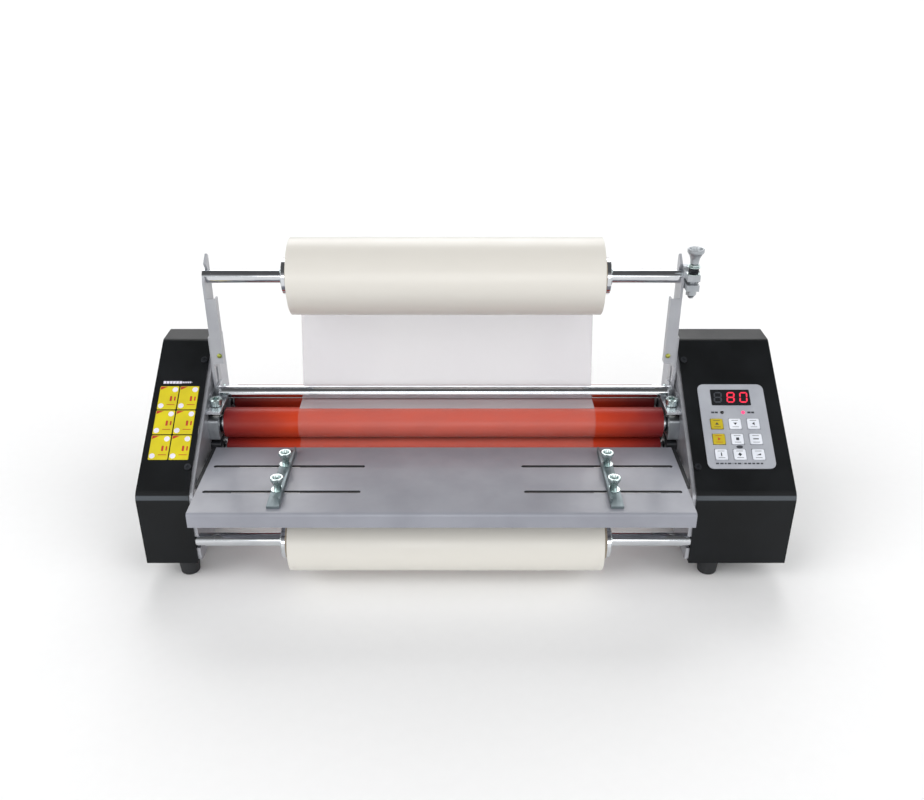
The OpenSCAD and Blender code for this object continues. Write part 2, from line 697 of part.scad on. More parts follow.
left_side_plate();
right_side_plate();
left_cover();
right_cover();
base_plates();
rubber_feet();
tie_rods();
film_guide_bar();
left_upright();
right_upright();
feed_table();
lower_bearings();
upper_bearings();
spring_cups();
pressure_bridges();
heater_lamps();
upper_film_web();
lower_film_web();
brake_clamp();
gear_motor();
motor_bracket();
control_panel();
circuit_boards();
power_inlet();
cover_screws();
front_lower_sleeve();
front_lower_core();
front_lower_gear();
front_upper_sleeve();
front_upper_core();
front_upper_gear();
rear_lower_roller();
rear_lower_gear();
rear_upper_roller();
rear_upper_gear();
idler_gear();
motor_pinion();
upper_film_shaft();
upper_film_roll();
lower_film_shaft();
lower_film_roll();
left_guide();
right_guide();
left_front_thumbscrew();
left_rear_thumbscrew();
right_front_thumbscrew();
right_rear_thumbscrew();
left_pressure_screw();
right_pressure_screw();
brake_screw();
power_rocker();
key_1();
key_2();
key_3();
key_4();
key_5();
key_6();
key_7();
key_8();
key_9();
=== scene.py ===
"""Studio scene of a desktop roll laminator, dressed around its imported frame.

The frame gives every structural part and its place. This script gives each of them a finish,
adds the detail that the frame leaves out, and sets the camera, the lamps and the floor.
"""

from __future__ import annotations

import logging
import math
from dataclasses import dataclass, field
from enum import Enum
from typing import Any, Iterable, Sequence

import bmesh
import bpy
from mathutils import Matrix, Vector


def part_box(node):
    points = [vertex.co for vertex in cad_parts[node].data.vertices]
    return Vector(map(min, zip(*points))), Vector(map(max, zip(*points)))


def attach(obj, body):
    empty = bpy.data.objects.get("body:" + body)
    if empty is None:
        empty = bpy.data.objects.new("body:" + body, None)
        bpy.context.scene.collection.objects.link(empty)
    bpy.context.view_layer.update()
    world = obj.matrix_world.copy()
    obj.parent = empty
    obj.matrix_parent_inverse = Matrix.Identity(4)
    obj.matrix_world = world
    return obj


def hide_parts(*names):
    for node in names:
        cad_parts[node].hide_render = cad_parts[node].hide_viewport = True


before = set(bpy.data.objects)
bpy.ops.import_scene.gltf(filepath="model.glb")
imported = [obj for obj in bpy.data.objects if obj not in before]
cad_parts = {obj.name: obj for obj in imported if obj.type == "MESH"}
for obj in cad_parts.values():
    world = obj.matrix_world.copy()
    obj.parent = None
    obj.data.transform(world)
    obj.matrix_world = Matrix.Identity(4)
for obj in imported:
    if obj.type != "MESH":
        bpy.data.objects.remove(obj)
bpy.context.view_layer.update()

LOG = logging.getLogger("laminator")
MM = 0.001
FLAT_ANGLE = math.radians(35)
COAT_ROUGHNESS = 0.12

Point = tuple[float, float]
Triple = tuple[float, float, float]
Tree = bpy.types.NodeTree
Node = bpy.types.Node
Socket = bpy.types.NodeSocket


class Axis(Enum):
    """The three row axes, as an index into a vector."""

    X = 0
    Y = 1
    Z = 2


def linear(code: str, alpha: float = 1.0) -> tuple[float, float, float, float]:
    """Turns an sRGB hex colour into Blender's linear values.

    Args:
        code: Six hex digits, such as "A8382A".
        alpha: The fourth value.

    Returns:
        Red, green, blue and alpha.
    """
    values = [int(code[i : i + 2], 16) / 255 for i in (0, 2, 4)]
    red, green, blue = (v / 12.92 if v <= 0.04045 else ((v + 0.055) / 1.055) ** 2.4 for v in values)
    return red, green, blue, alpha


def add_node(tree: Tree, kind: str, settings: dict[Any, Any] | None = None,
             links: dict[Any, Socket] | None = None) -> Node:
    """Adds one shader node with its settings and its incoming links.

    Args:
        tree: The material's node tree.
        kind: The node's type, such as "ShaderNodeBump".
        settings: Values by attribute name, or by input name or number.
        links: The socket that feeds each input, by input name or number.

    Returns:
        The new node.
    """
    node = tree.nodes.new(kind)
    for key, value in (settings or {}).items():
        if isinstance(key, str) and key not in node.inputs:
            setattr(node, key, value)
        else:
            node.inputs[key].default_value = value
    for key, source in (links or {}).items():
        tree.links.new(source, node.inputs[key])
    return node


def scalar(tree: Tree, operation: str, *inputs: Socket | float) -> Socket:
    """Adds one scalar sum, whose inputs are sockets or plain numbers, and returns its result."""
    links = {i: value for i, value in enumerate(inputs) if not isinstance(value, float)}
    numbers = {i: value for i, value in enumerate(inputs) if isinstance(value, float)}
    return add_node(tree, "ShaderNodeMath", {"operation": operation, **numbers}, links).outputs[0]


# ---- finishes ----


@dataclass(frozen=True)
class Finish:
    """A real material with its surface; each kind of surface is a subclass.

    The shader's own sockets take the constants, and dress() adds what varies over the surface.
    """

    name: str
    colour: str
    shade: str
    roughness: float
    metallic: float = 0.0
    ior: float = 1.5
    coat: float = 0.0
    gloss: float = 0.5

    def material(self) -> bpy.types.Material:
        """Returns the finish's material, made on first use."""
        made = bpy.data.materials.get(self.name)
        if made:
            return made
        made = bpy.data.materials.new(self.name)
        made.use_nodes = True
        tree = made.node_tree
        shader = tree.nodes["Principled BSDF"]
        constants = {"Base Color": linear(self.colour), "Metallic": self.metallic,
                     "Roughness": self.roughness, "IOR": self.ior, "Specular IOR Level": self.gloss,
                     "Coat Weight": self.coat, "Coat Roughness": COAT_ROUGHNESS}
        for socket, value in constants.items():
            shader.inputs[socket].default_value = value
        place = add_node(tree, "ShaderNodeTexCoord").outputs["Object"]
        self.dress(tree, shader, place)
        return made

    def dress(self, tree: Tree, shader: Node, place: Socket) -> None:
        """Adds the nodes that vary over the surface; a plain finish varies a little everywhere."""
        self.drift(tree, shader, self.noise(tree, place, 9.0, 2.0))

    def noise(self, tree: Tree, place: Socket, size_mm: float, detail: float,
              stretch: Triple = (1.0, 1.0, 1.0)) -> Socket:
        """Adds a noise whose blotches are about size_mm across.

        Args:
            tree: The material's node tree.
            place: The coordinates.
            size_mm: The real size of one blotch.
            detail: Octaves of finer noise.
            stretch: How much finer the noise is along X, Y and Z.

        Returns:
            The noise value, from 0 to 1.
        """
        mapped = add_node(tree, "ShaderNodeMapping", {"Scale": stretch}, {"Vector": place})
        settings = {"Scale": 1.0 / (size_mm * MM), "Detail": detail, "Roughness": 0.55}
        return add_node(tree, "ShaderNodeTexNoise", settings, {"Vector": mapped.outputs[0]}).outputs[0]

    def drift(self, tree: Tree, shader: Node, value: Socket, low: float = 0.3, high: float = 0.7) -> None:
        """Lets the base colour drift to its shade as value goes from low to high."""
        span = add_node(tree, "ShaderNodeMapRange", {"From Min": low, "From Max": high}, {"Value": value})
        ends = {"data_type": "RGBA", 6: linear(self.colour), 7: linear(self.shade)}
        mix = add_node(tree, "ShaderNodeMix", ends, {0: span.outputs[0]})
        tree.links.new(mix.outputs[2], shader.inputs["Base Color"])

    def vary_roughness(self, tree: Tree, shader: Node, value: Socket, spread: float) -> None:
        """Lets the roughness wander by spread either side of its constant."""
        ends = {"From Min": 0.3, "From Max": 0.7, "To Min": max(self.roughness - spread, 0.02),
                "To Max": self.roughness + spread}
        span = add_node(tree, "ShaderNodeMapRange", ends, {"Value": value})
        tree.links.new(span.outputs[0], shader.inputs["Roughness"])

    def bump(self, tree: Tree, shader: Node, height: Socket, depth_mm: float, strength: float = 1.0) -> None:
        """Adds a relief of a real depth, of which strength is the share that shows."""
        settings = {"Distance": depth_mm * MM, "Strength": strength}
        node = add_node(tree, "ShaderNodeBump", settings, {"Height": height})
        tree.links.new(node.outputs[0], shader.inputs["Normal"])


@dataclass(frozen=True)
class PowderCoat(Finish):
    """Powder coat baked on sheet steel: an even, slightly pebbled paint with a low sheen."""

    grit_mm: float = 0.9
    depth_mm: float = 0.05

    def dress(self, tree: Tree, shader: Node, place: Socket) -> None:
        """Pebbles of real grit size, drawn a little coarse to show, over faint handling marks."""
        pebble = self.noise(tree, place, self.grit_mm, 1.0)
        marks = self.noise(tree, place, 38.0, 3.0)
        self.drift(tree, shader, marks, 0.35, 0.75)
        self.vary_roughness(tree, shader, marks, 0.05)
        self.bump(tree, shader, pebble, self.depth_mm, 0.6)


@dataclass(frozen=True)
class FoldedPowderCoat(PowderCoat):
    """Powder coat over a sheet folded along X, with a grey painted highlight band just below the fold."""

    # The grey of the painted highlight just below the fold.
    painted_highlight: str = "4A4F54"
    fold_mm: float = 81.0
    band_mm: float = 3.6

    def dress(self, tree: Tree, shader: Node, place: Socket) -> None:
        """The even coat, with a band of grey painted highlight on the front of the fold."""
        super().dress(tree, shader, place)
        coat = shader.inputs["Base Color"].links[0].from_socket
        split = add_node(tree, "ShaderNodeSeparateXYZ", {}, {0: place})
        low, high, front = self.fold_mm - self.band_mm, self.fold_mm, ORIGIN.y / MM + 1.0
        edges = [(2, low - 0.7, low + 0.7, 1.0), (2, high - 0.5, high + 0.3, 0.0),
                 (1, front, front + 1.0, 0.0)]
        # Mask of the painted highlight band: just below the fold, on the front face only.
        painted_highlight: Socket | None = None
        for axis, start, end, after in edges:
            settings = {"From Min": start * MM, "From Max": end * MM, "To Min": 1.0 - after, "To Max": after,
                        "interpolation_type": "SMOOTHSTEP"}
            step = add_node(tree, "ShaderNodeMapRange", settings, {0: split.outputs[axis]}).outputs[0]
            painted_highlight = step if painted_highlight is None else scalar(tree, "MULTIPLY", painted_highlight, step)
        mix = add_node(tree, "ShaderNodeMix", {"data_type": "RGBA", 7: linear(self.painted_highlight)}, {0: painted_highlight, 6: coat})
        tree.links.new(mix.outputs[2], shader.inputs["Base Color"])


@dataclass(frozen=True)
class BrushedMetal(Finish):
    """Rolled or turned metal whose fine lines run along one axis."""

    along: Axis = Axis.X
    line_mm: float = 0.5
    depth_mm: float = 0.01

    def dress(self, tree: Tree, shader: Node, place: Socket) -> None:
        """Lines forty times as long as they are wide, and a cloudy plating over them."""
        stretch = [1.0, 1.0, 1.0]
        stretch[self.along.value] = 1 / 40
        lines = self.noise(tree, place, self.line_mm, 2.0, tuple(stretch))
        clouds = self.noise(tree, place, 14.0, 3.0)
        self.drift(tree, shader, clouds)
        self.vary_roughness(tree, shader, lines, 0.08)
        self.bump(tree, shader, lines, self.depth_mm, 0.5)


@dataclass(frozen=True)
class Chrome(Finish):
    """Hard chrome on a ground bar: a near mirror with hairline rubbing marks round the bar."""

    def dress(self, tree: Tree, shader: Node, place: Socket) -> None:
        """Hairlines round the bar, 0.6 mm apart, drawn coarser than the real ones."""
        lines = self.noise(tree, place, 0.6, 2.0, (1.0, 1 / 30, 1 / 30))
        haze = self.noise(tree, place, 22.0, 2.0)
        self.drift(tree, shader, haze)
        self.vary_roughness(tree, shader, lines, 0.04)


@dataclass(frozen=True)
class Silicone(Finish):
    """Ground silicone rubber: satin, opaque, with grinding lines round the roller.

    The ends run a little darker and bluer: painted shade where the rollers run in beside the side plates.
    """

    half_mm: float = 180.0
    centre_mm: float = -18.0
    painted_shade_mm: float = 75.0

    def dress(self, tree: Tree, shader: Node, place: Socket) -> None:
        """Grinding lines 0.4 mm apart and painted shade that grows over the last 75 mm of each end."""
        lines = self.noise(tree, place, 0.4, 1.0, (1.0, 1 / 25, 1 / 25))
        clouds = self.noise(tree, place, 26.0, 2.0)
        split = add_node(tree, "ShaderNodeSeparateXYZ", {}, {0: place})
        far = scalar(tree, "ABSOLUTE", scalar(tree, "SUBTRACT", split.outputs[0], self.centre_mm * MM))
        settings = {"From Min": (self.half_mm - self.painted_shade_mm) * MM, "From Max": (self.half_mm + 6) * MM,
                    "To Max": 0.75, "interpolation_type": "SMOOTHSTEP"}
        # Painted shade: the colour darkens and turns bluer towards each end of the roller.
        end = add_node(tree, "ShaderNodeMapRange", settings, {"Value": far})
        clouds_and_painted_shade = scalar(tree, "MULTIPLY_ADD", clouds, 0.3, end.outputs[0])
        self.drift(tree, shader, clouds_and_painted_shade, 0.1, 1.0)
        self.vary_roughness(tree, shader, clouds, 0.05)
        self.bump(tree, shader, lines, 0.012, 0.4)


@dataclass(frozen=True)
class WoundFilm(Finish):
    """Polyester film wound hundreds of layers deep: pearly white, with winding lines on the ends."""

    y_mm: float = 0.0
    z_mm: float = 0.0

    def dress(self, tree: Tree, shader: Node, place: Socket) -> None:
        """Rings 0.5 mm apart about the roll's axis, and soft tension bands along the roll."""
        axis = (0, self.y_mm * MM, self.z_mm * MM)
        steps = ({"operation": "SUBTRACT", 1: axis}, {"operation": "MULTIPLY", 1: (0, 1, 1)},
                 {"operation": "LENGTH"})
        source = place
        for settings in steps:
            radius = add_node(tree, "ShaderNodeVectorMath", settings, {0: source})
            source = radius.outputs[0]
        rings = add_node(tree, "ShaderNodeTexNoise",
                         {"noise_dimensions": "1D", "Scale": 1 / (0.5 * MM), "Detail": 2.0},
                         {"W": radius.outputs["Value"]})
        bands = self.noise(tree, place, 30.0, 2.0, (1.0, 0.15, 0.15))
        self.drift(tree, shader, rings.outputs[0], 0.42, 0.72)
        self.vary_roughness(tree, shader, bands, 0.05)
        self.bump(tree, shader, bands, 0.25, 0.25)


@dataclass(frozen=True)
class FilmSheet(Finish):
    """One layer of matt polyester film under tension: see-through and faintly rippled."""

    alpha: float = 0.6
    ripple_mm: float = 45.0

    def dress(self, tree: Tree, shader: Node, place: Socket) -> None:
        """Tension ripples across the web, as soft as those of film that runs straight."""
        shader.inputs["Alpha"].default_value = self.alpha
        ripples = self.noise(tree, place, self.ripple_mm, 0.0, (1.0, 0.12, 0.12))
        self.drift(tree, shader, ripples, 0.2, 0.8)
        self.bump(tree, shader, ripples, 0.4, 0.15)


@dataclass(frozen=True)
class Moulded(Finish):
    """Injection-moulded plastic with the fine spark grain of its mould."""

    grain_mm: float = 0.5
    depth_mm: float = 0.02

    def dress(self, tree: Tree, shader: Node, place: Socket) -> None:
        """Grain drawn coarse enough to show, over a slow change of colour."""
        grain = self.noise(tree, place, self.grain_mm, 1.0)
        flow = self.noise(tree, place, 17.0, 2.0)
        self.drift(tree, shader, flow)
        self.vary_roughness(tree, shader, flow, 0.04)
        self.bump(tree, shader, grain, self.depth_mm, 0.5)


@dataclass(frozen=True)
class Cardboard(Finish):
    """Grey board, as film cores are made: matt and fibrous."""

    def dress(self, tree: Tree, shader: Node, place: Socket) -> None:
        """Fibres a third of a millimetre wide that run round the tube."""
        fibres = self.noise(tree, place, 0.35, 3.0, (1.0, 0.3, 0.3))
        self.drift(tree, shader, fibres, 0.3, 0.7)
        self.bump(tree, shader, fibres, 0.05, 0.5)


@dataclass(frozen=True)
class CircuitBoard(Finish):
    """Glass-fibre board under green solder mask, with the copper tracks showing as raised lines."""

    def dress(self, tree: Tree, shader: Node, place: Socket) -> None:
        """A grid of tracks with a 5 mm pitch."""
        settings = {"Scale": 1 / (10 * MM), "Mortar Size": 0.03, "Color1": (0, 0, 0, 1),
                    "Color2": (0.2, 0.2, 0.2, 1), "Mortar": (1, 1, 1, 1)}
        tracks = add_node(tree, "ShaderNodeTexBrick", settings, {"Vector": place})
        self.drift(tree, shader, tracks.outputs[0], 0.1, 0.9)
        self.bump(tree, shader, tracks.outputs[0], 0.04)


@dataclass(frozen=True)
class Glow(Finish):
    """A lit element behind tinted plastic: it shines evenly from its whole face."""

    power: float = 1.0

    def dress(self, tree: Tree, shader: Node, place: Socket) -> None:
        """Light of the element's own colour."""
        shader.inputs["Emission Color"].default_value = linear(self.colour)
        shader.inputs["Emission Strength"].default_value = self.power
        self.drift(tree, shader, self.noise(tree, place, 1.5, 1.0))


class Finishes:
    """Every finish on the machine, by what it is on."""

    # Black polyester powder coat on folded sheet: nearly black, with a grey painted highlight band below the
    # fold.
    CASE = FoldedPowderCoat("satin_black_powder_coat", "0B0D0F", "111417", 0.4, gloss=0.2)
    # The bases are the same steel with a matt black paint.
    BASE = PowderCoat("base_black_paint", "141619", "1C1F23", 0.6, gloss=0.2)
    # Silver-grey paint on the folded table: smooth, cool and satin.
    TABLE = PowderCoat("table_grey_enamel", "90929B", "84868F", 0.38, coat=0.15, grit_mm=0.6, depth_mm=0.015)
    # Silver paint on the arms that carry the film.
    ARM = PowderCoat("arm_silver_paint", "A2A4A9", "94969C", 0.36, coat=0.1, grit_mm=0.7, depth_mm=0.02)
    # Cold-rolled side plates with a bright zinc coat, rolled front to back.
    PLATE = BrushedMetal("zinc_plated_sheet", "B9BABF", "A5A7AD", 0.38, 0.75, along=Axis.Y)
    # Bright zinc on small folded brackets.
    BRACKET = BrushedMetal("bracket_bright_zinc", "C4C6CA", "A9ACB2", 0.3, 0.9, along=Axis.Y)
    # Turned steel: the rods, the roller cores and the bearings' races.
    ROD = BrushedMetal("turned_steel", "B8BABD", "9EA1A5", 0.3, 1.0, along=Axis.Y)
    # Hard chrome on the shafts, the guide bar and the inlet's pins.
    SHAFT = Chrome("hard_chrome", "D9DBDE", "CACDD1", 0.09, 1.0)
    # Bright zinc-nickel on the screws, slightly green.
    SCREW = BrushedMetal("screw_bright_zinc", "C9D6D5", "AEBDBC", 0.24, 0.95, along=Axis.Z, line_mm=0.3)
    # Yellow chromate on zinc.
    YELLOW_ZINC = BrushedMetal("yellow_chromate", "B7B45A", "8F9A4C", 0.35, 0.85, along=Axis.X, line_mm=0.3)
    # Black oxide on small machine screws, worn grey on the high spots.
    BLACK_SCREW = BrushedMetal("black_oxide", "4A4D52", "2B2D31", 0.38, 0.8, along=Axis.X, line_mm=0.3)
    # Dull green-grey zinc on the guides.
    GUIDE = BrushedMetal("guide_grey_zinc", "7C878B", "687478", 0.42, 0.6, along=Axis.Y)
    # Die-cast alloy: the brake, the upper bearing blocks, the chucks' faces and the motor.
    CAST = BrushedMetal("die_cast_alloy", "B5B9BC", "979CA1", 0.42, 0.85, along=Axis.Z, line_mm=1.2,
                        depth_mm=0.03)
    # Gear brass.
    BRASS = BrushedMetal("cut_gear_brass", "C8A35A", "A9813F", 0.3, 1.0, along=Axis.X)
    # Orange-red ground silicone on the rollers.
    SILICONE = Silicone("red_silicone_rubber", "C23E1E", "5E1620", 0.38, ior=1.41, coat=0.03, gloss=0.28)
    # Black rubber on the feet; the same black makes the strips in the table's end gaps and slots, which are
    # painted shade.
    FOOT = Moulded("moulded_black_rubber", "15171A", "1E2023", 0.62, ior=1.52, grain_mm=0.8)
    # Black acetal on the lower bearing blocks.
    ACETAL = Moulded("black_acetal", "17181B", "202226", 0.36, ior=1.48)
    # White nylon.
    NYLON = Moulded("white_nylon", "E6E7E3", "D3D5D0", 0.4, ior=1.53)
    # Natural nylon of the gears.
    GEAR = Moulded("natural_nylon", "D8D3C2", "C6C0AD", 0.42, ior=1.53)
    # Inlet and switch body.
    INLET = Moulded("black_thermoplastic", "141517", "1D1E21", 0.4, ior=1.58)
    # Red gloss rocker.
    ROCKER = Moulded("red_rocker_plastic", "8E1A1F", "7A1519", 0.22, ior=1.49, coat=0.4, grain_mm=2.0)
    # Silk-screened polycarbonate overlay on the keypad.
    PANEL = Moulded("grey_polycarbonate", "A6A9B0", "9A9DA5", 0.4, ior=1.58, grain_mm=0.4)
    KEY_WHITE = Moulded("white_key_overlay", "E4E7EE", "D5D9E1", 0.36, ior=1.58, grain_mm=0.4)
    KEY_YELLOW = Moulded("yellow_key_overlay", "C2AE1C", "AD9A16", 0.36, ior=1.58, grain_mm=0.4)
    INK = Moulded("panel_ink", "2A2D33", "383C43", 0.5, grain_mm=0.4)
    # Smoked acrylic over the display and the dark lamp.
    LENS = Moulded("smoked_acrylic", "15171A", "1B1D21", 0.12, ior=1.49, coat=0.6, grain_mm=6.0,
                   depth_mm=0.004)
    # Vinyl labels.
    LABEL = Moulded("yellow_vinyl", "D9CB1E", "C9B919", 0.34, ior=1.54, grain_mm=0.9, depth_mm=0.01)
    LABEL_RED = Moulded("label_red_ink", "C0392B", "A93226", 0.36, grain_mm=0.9, depth_mm=0.01)
    LABEL_WHITE = Moulded("label_white_ink", "E9E6F2", "DAD6E6", 0.36, grain_mm=0.9, depth_mm=0.01)
    # Silver foil rating plate without any print.
    FOIL = BrushedMetal("foil_plate", "C7C9CC", "B4B7BB", 0.32, 0.9, along=Axis.X, line_mm=0.4)
    CARD = Cardboard("grey_board", "A79C8C", "8B8071", 0.8)
    BOARD = CircuitBoard("solder_mask", "1E5A38", "2F7A4C", 0.35, coat=0.3)
    # Frosted quartz lamp tube.
    QUARTZ = Moulded("frosted_quartz", "E5E1D6", "D6D1C4", 0.3, ior=1.46, grain_mm=1.0)
    # Dark steel: the springs, the retaining rings, the seals and the brake screw's thread.
    SPRING = BrushedMetal("black_spring_steel", "3C4045", "24272B", 0.34, 0.9, along=Axis.X, line_mm=0.3)
    GLOW_RED = Glow("red_display_light", "D22840", "A81A2E", 0.4, power=1.0)
    GLOW_PINK = Glow("pink_led_light", "EC4070", "D83A66", 0.4, power=0.9)
    # Matt laminating film, one layer thick: milky where it hangs free, as light scatters in it.
    WEB = FilmSheet("polyester_film", "D0CDD0", "C9C5CA", 0.38, ior=1.64, alpha=0.42)
    # The same film where it lies hot on a roller: it wets the rubber and turns nearly clear.
    WET_WEB = FilmSheet("polyester_film_on_rubber", "E2D4D2", "D9C9C8", 0.24, ior=1.64, alpha=0.06, gloss=0.3)


# ---- the machine frame and the mesh builder ----


def machine_origin() -> Vector:
    """Returns the row frame's point at the middle of the work, the front of the cases and the floor."""
    low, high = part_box("film_guide_bar")
    return Vector(((low.x + high.x) / 2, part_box("left_cover")[0].y, 0.0))


ORIGIN = machine_origin()
WELD_MM = 0.0005


def size_of(node: str) -> tuple[Vector, Vector]:
    """Returns a frame node's lowest and highest corners, in millimetres in the machine frame."""
    low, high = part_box(node)
    return (low - ORIGIN) / MM, (high - ORIGIN) / MM


def middle_of(node: str) -> Vector:
    """Returns the middle of a frame node's box, in millimetres in the machine frame."""
    low, high = size_of(node)
    return (low + high) / 2


def along(axis: Axis, at: Sequence[float], spin: float = 0.0) -> Matrix:
    """Makes a local frame whose Z runs along a machine axis.

    Args:
        axis: The machine axis; its local X and Y are the two axes that follow it in turn.
        at: The local origin, in millimetres.
        spin: A turn about the local Z, in degrees.

    Returns:
        The matrix from the local frame to the machine frame.
    """
    unit = Matrix.Identity(3)
    first = axis.value
    turn = Matrix((unit[(first + 1) % 3], unit[(first + 2) % 3], unit[first])).transposed()
    return Matrix.Translation(at) @ turn.to_4x4() @ Matrix.Rotation(math.radians(spin), 4, "Z")


@dataclass(frozen=True)
class Slope:
    """The sloping faces of both cases: x across, v up the slope, w out of it."""

    foot: float = 81.0
    rise: float = 80.0
    run: float = 119.0

    def at(self, x: float, v: float, w: float = 0.0, spin: float = 0.0) -> Matrix:
        """Returns the local frame of a point on the slope."""
        tilt = Matrix.Rotation(math.atan2(self.rise, self.run), 4, "X")
        face = Matrix.Translation((0, 0, self.foot)) @ tilt
        return face @ Matrix.Translation((x, v, w)) @ Matrix.Rotation(math.radians(spin), 4, "Z")


SLOPE = Slope()


def arc(centre: Point, radius: float, start: float, end: float, steps: int) -> list[Point]:
    """Returns the points of an arc, with its angles in degrees."""
    turns = [math.radians(start + (end - start) * i / steps) for i in range(steps + 1)]
    return [(centre[0] + radius * math.cos(t), centre[1] + radius * math.sin(t)) for t in turns]


def rounded_rect(width: float, height: float, radius: float, steps: int = 5) -> list[Point]:
    """Returns the outline of a rectangle about the origin with round corners."""
    x, y = width / 2 - radius, height / 2 - radius
    corners = [(x, y, 0), (-x, y, 90), (-x, -y, 180), (x, -y, 270)]
    return [p for cx, cy, turn in corners for p in arc((cx, cy), radius, turn, turn + 90, steps)]


def regular(sides: int, radius: float, turn: float = 0.0) -> list[Point]:
    """Returns a regular polygon about the origin."""
    return arc((0, 0), radius, turn, turn + 360 * (sides - 1) / sides, sides - 1)


def washer(start: float, end: float, inner: float, outer: float) -> list[Point]:
    """Returns the closed profile of a flat ring, for lathe()."""
    return [(start, inner), (start, outer), (end, outer), (end, inner), (start, inner)]


def mirrored(profile: Sequence[Point], side: float) -> list[Point]:
    """Returns a profile whose distances run along the axis for side 1 and against it for side -1."""
    return [(side * distance, radius) for distance, radius in profile]


@dataclass
class Blank:
    """One piece under construction, in millimetres in the machine frame."""

    name: str
    finish: Finish
    edge: float = 0.0
    mesh: bmesh.types.BMesh = field(default_factory=bmesh.new, repr=False)

    def skin(self, rings: Sequence[Sequence[Vector]], closed: bool = True) -> Blank:
        """Joins rings of points with faces; a ring of one point is a pole.

        Args:
            rings: The rings in order, each with the same number of points or just one.
            closed: Whether each ring closes on itself.

        Returns:
            This blank.
        """
        made = [[self.mesh.verts.new(p) for p in ring] for ring in rings]
        for one, two in zip(made, made[1:]):
            count = max(len(one), len(two))
            for i in range(count if closed else count - 1):
                j = (i + 1) % count
                near = [one[i], one[j]] if len(one) > 1 else [one[0]]
                far = [two[j], two[i]] if len(two) > 1 else [two[0]]
                self.mesh.faces.new(near + far)
        return self

    def lathe(self, profile: Iterable[Point], place: Matrix, steps: int = 72) -> Blank:
        """Turns a profile about the local Z.

        Args:
            profile: Pairs of distance along the axis and radius, from one end to the other.
            place: The local frame.
            steps: Facets in a full turn.

        Returns:
            This blank.
        """
        rings = []
        for depth, radius in profile:
            turns = [math.tau * i / steps for i in range(steps)] if radius else [0.0]
            spots = [Vector((radius * math.cos(t), radius * math.sin(t), depth)) for t in turns]
            rings.append([place @ spot for spot in spots])
        return self.skin(rings)

    def extrude(self, outline: Sequence[Point], depth: float, place: Matrix) -> Blank:
        """Raises a flat outline along the local Z by depth, with both ends closed."""
        floor, roof = ([self.mesh.verts.new(place @ Vector((x, y, w))) for x, y in outline]
                       for w in (0.0, depth))
        for i, low in enumerate(floor):
            j = (i + 1) % len(floor)
            self.mesh.faces.new((low, floor[j], roof[j], roof[i]))
        self.mesh.faces.new(floor[::-1])
        self.mesh.faces.new(roof)
        return self

    def frame_plate(self, outer: Sequence[Point], inner: Sequence[Point], depth: float,
                    place: Matrix) -> Blank:
        """Raises the band between two outlines with the same number of points."""
        levels = [(outer, 0.0), (outer, depth), (inner, depth), (inner, 0.0), (outer, 0.0)]
        return self.skin([[place @ Vector((x, y, w)) for x, y in line] for line, w in levels])

    def sweep(self, path: Sequence[Vector], radius: float, steps: int = 10) -> Blank:
        """Runs a round wire along a path, with its ends closed."""
        side = Vector((0, 0, 1))
        rings: list[list[Vector]] = [[path[0]]]
        for i, point in enumerate(path):
            heading = (path[min(i + 1, len(path) - 1)] - path[max(i - 1, 0)]).normalized()
            side = (side - heading * side.dot(heading)).normalized()
            across = heading.cross(side)
            turns = [math.tau * k / steps for k in range(steps)]
            rings.append([point + radius * (side * math.cos(t) + across * math.sin(t)) for t in turns])
        return self.skin([*rings, [path[-1]]])

    def helix(self, radius: float, wire: float, length: float, turns: float, place: Matrix) -> Blank:
        """Winds a coil spring or a thread crest about the local Z."""
        count = max(int(turns * 20), 8)
        points = []
        for i in range(count + 1):
            angle, rise = math.tau * turns * i / count, length * i / count
            points.append(place @ Vector((radius * math.cos(angle), radius * math.sin(angle), rise)))
        return self.sweep(points, wire)

    def put(self, body: str, slot: str, *replaced: str) -> bpy.types.Object:
        """Finishes the mesh and sets the piece on its body.

        Args:
            body: The frame's body that it moves with.
            slot: Not used.
            replaced: The frame's nodes that it stands for.

        Returns:
            The finished object.
        """
        bmesh.ops.remove_doubles(self.mesh, verts=self.mesh.verts, dist=WELD_MM)
        bmesh.ops.recalc_face_normals(self.mesh, faces=self.mesh.faces)
        self.mesh.transform(Matrix.Translation(ORIGIN) @ Matrix.Scale(MM, 4))
        data = bpy.data.meshes.new(self.name)
        self.mesh.to_mesh(data)
        self.mesh.free()
        data.shade_smooth()
        data.set_sharp_from_angle(angle=FLAT_ANGLE)
        data.materials.append(self.finish.material())
        piece = bpy.data.objects.new(self.name, data)
        bpy.context.scene.collection.objects.link(piece)
        if self.edge:
            break_edges(piece, self.edge)
        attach(piece, body)
        if replaced:
            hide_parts(*replaced)
        LOG.info("%s rides on %s in %s", self.name, body, self.finish.name)
        return piece


def break_edges(piece: bpy.types.Object, width: float) -> None:
    """Rounds a piece's sharp edges by a fraction of a millimetre, as deburring or paint does.

    The mesh is welded and its flat faces are merged first, so that the bevel runs clean.
    """
    steps: dict[str, dict[str, Any]] = {
        "WELD": {"merge_threshold": 0.01 * MM},
        "DECIMATE": {"decimate_type": "DISSOLVE", "angle_limit": math.radians(0.3)},
        "BEVEL": {"width": width * MM, "segments": 2, "limit_method": "ANGLE", "angle_limit": FLAT_ANGLE,
                  "use_clamp_overlap": True, "harden_normals": True},
    }
    for kind, settings in steps.items():
        step = piece.modifiers.new(kind.lower(), kind)
        for key, value in settings.items():
            setattr(step, key, value)


def dress(finish: Finish, edge: float, *nodes: str) -> None:
    """Gives frame nodes their finish, and breaks their edges if edge isn't zero."""
    for node in nodes:
        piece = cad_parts[node]
        for material_slot in piece.material_slots:
            material_slot.link = "OBJECT"
            material_slot.material = finish.material()
        if edge:
            break_edges(piece, edge)
        LOG.info("%s is in %s", node, finish.name)


# ---- sub-assemblies ----


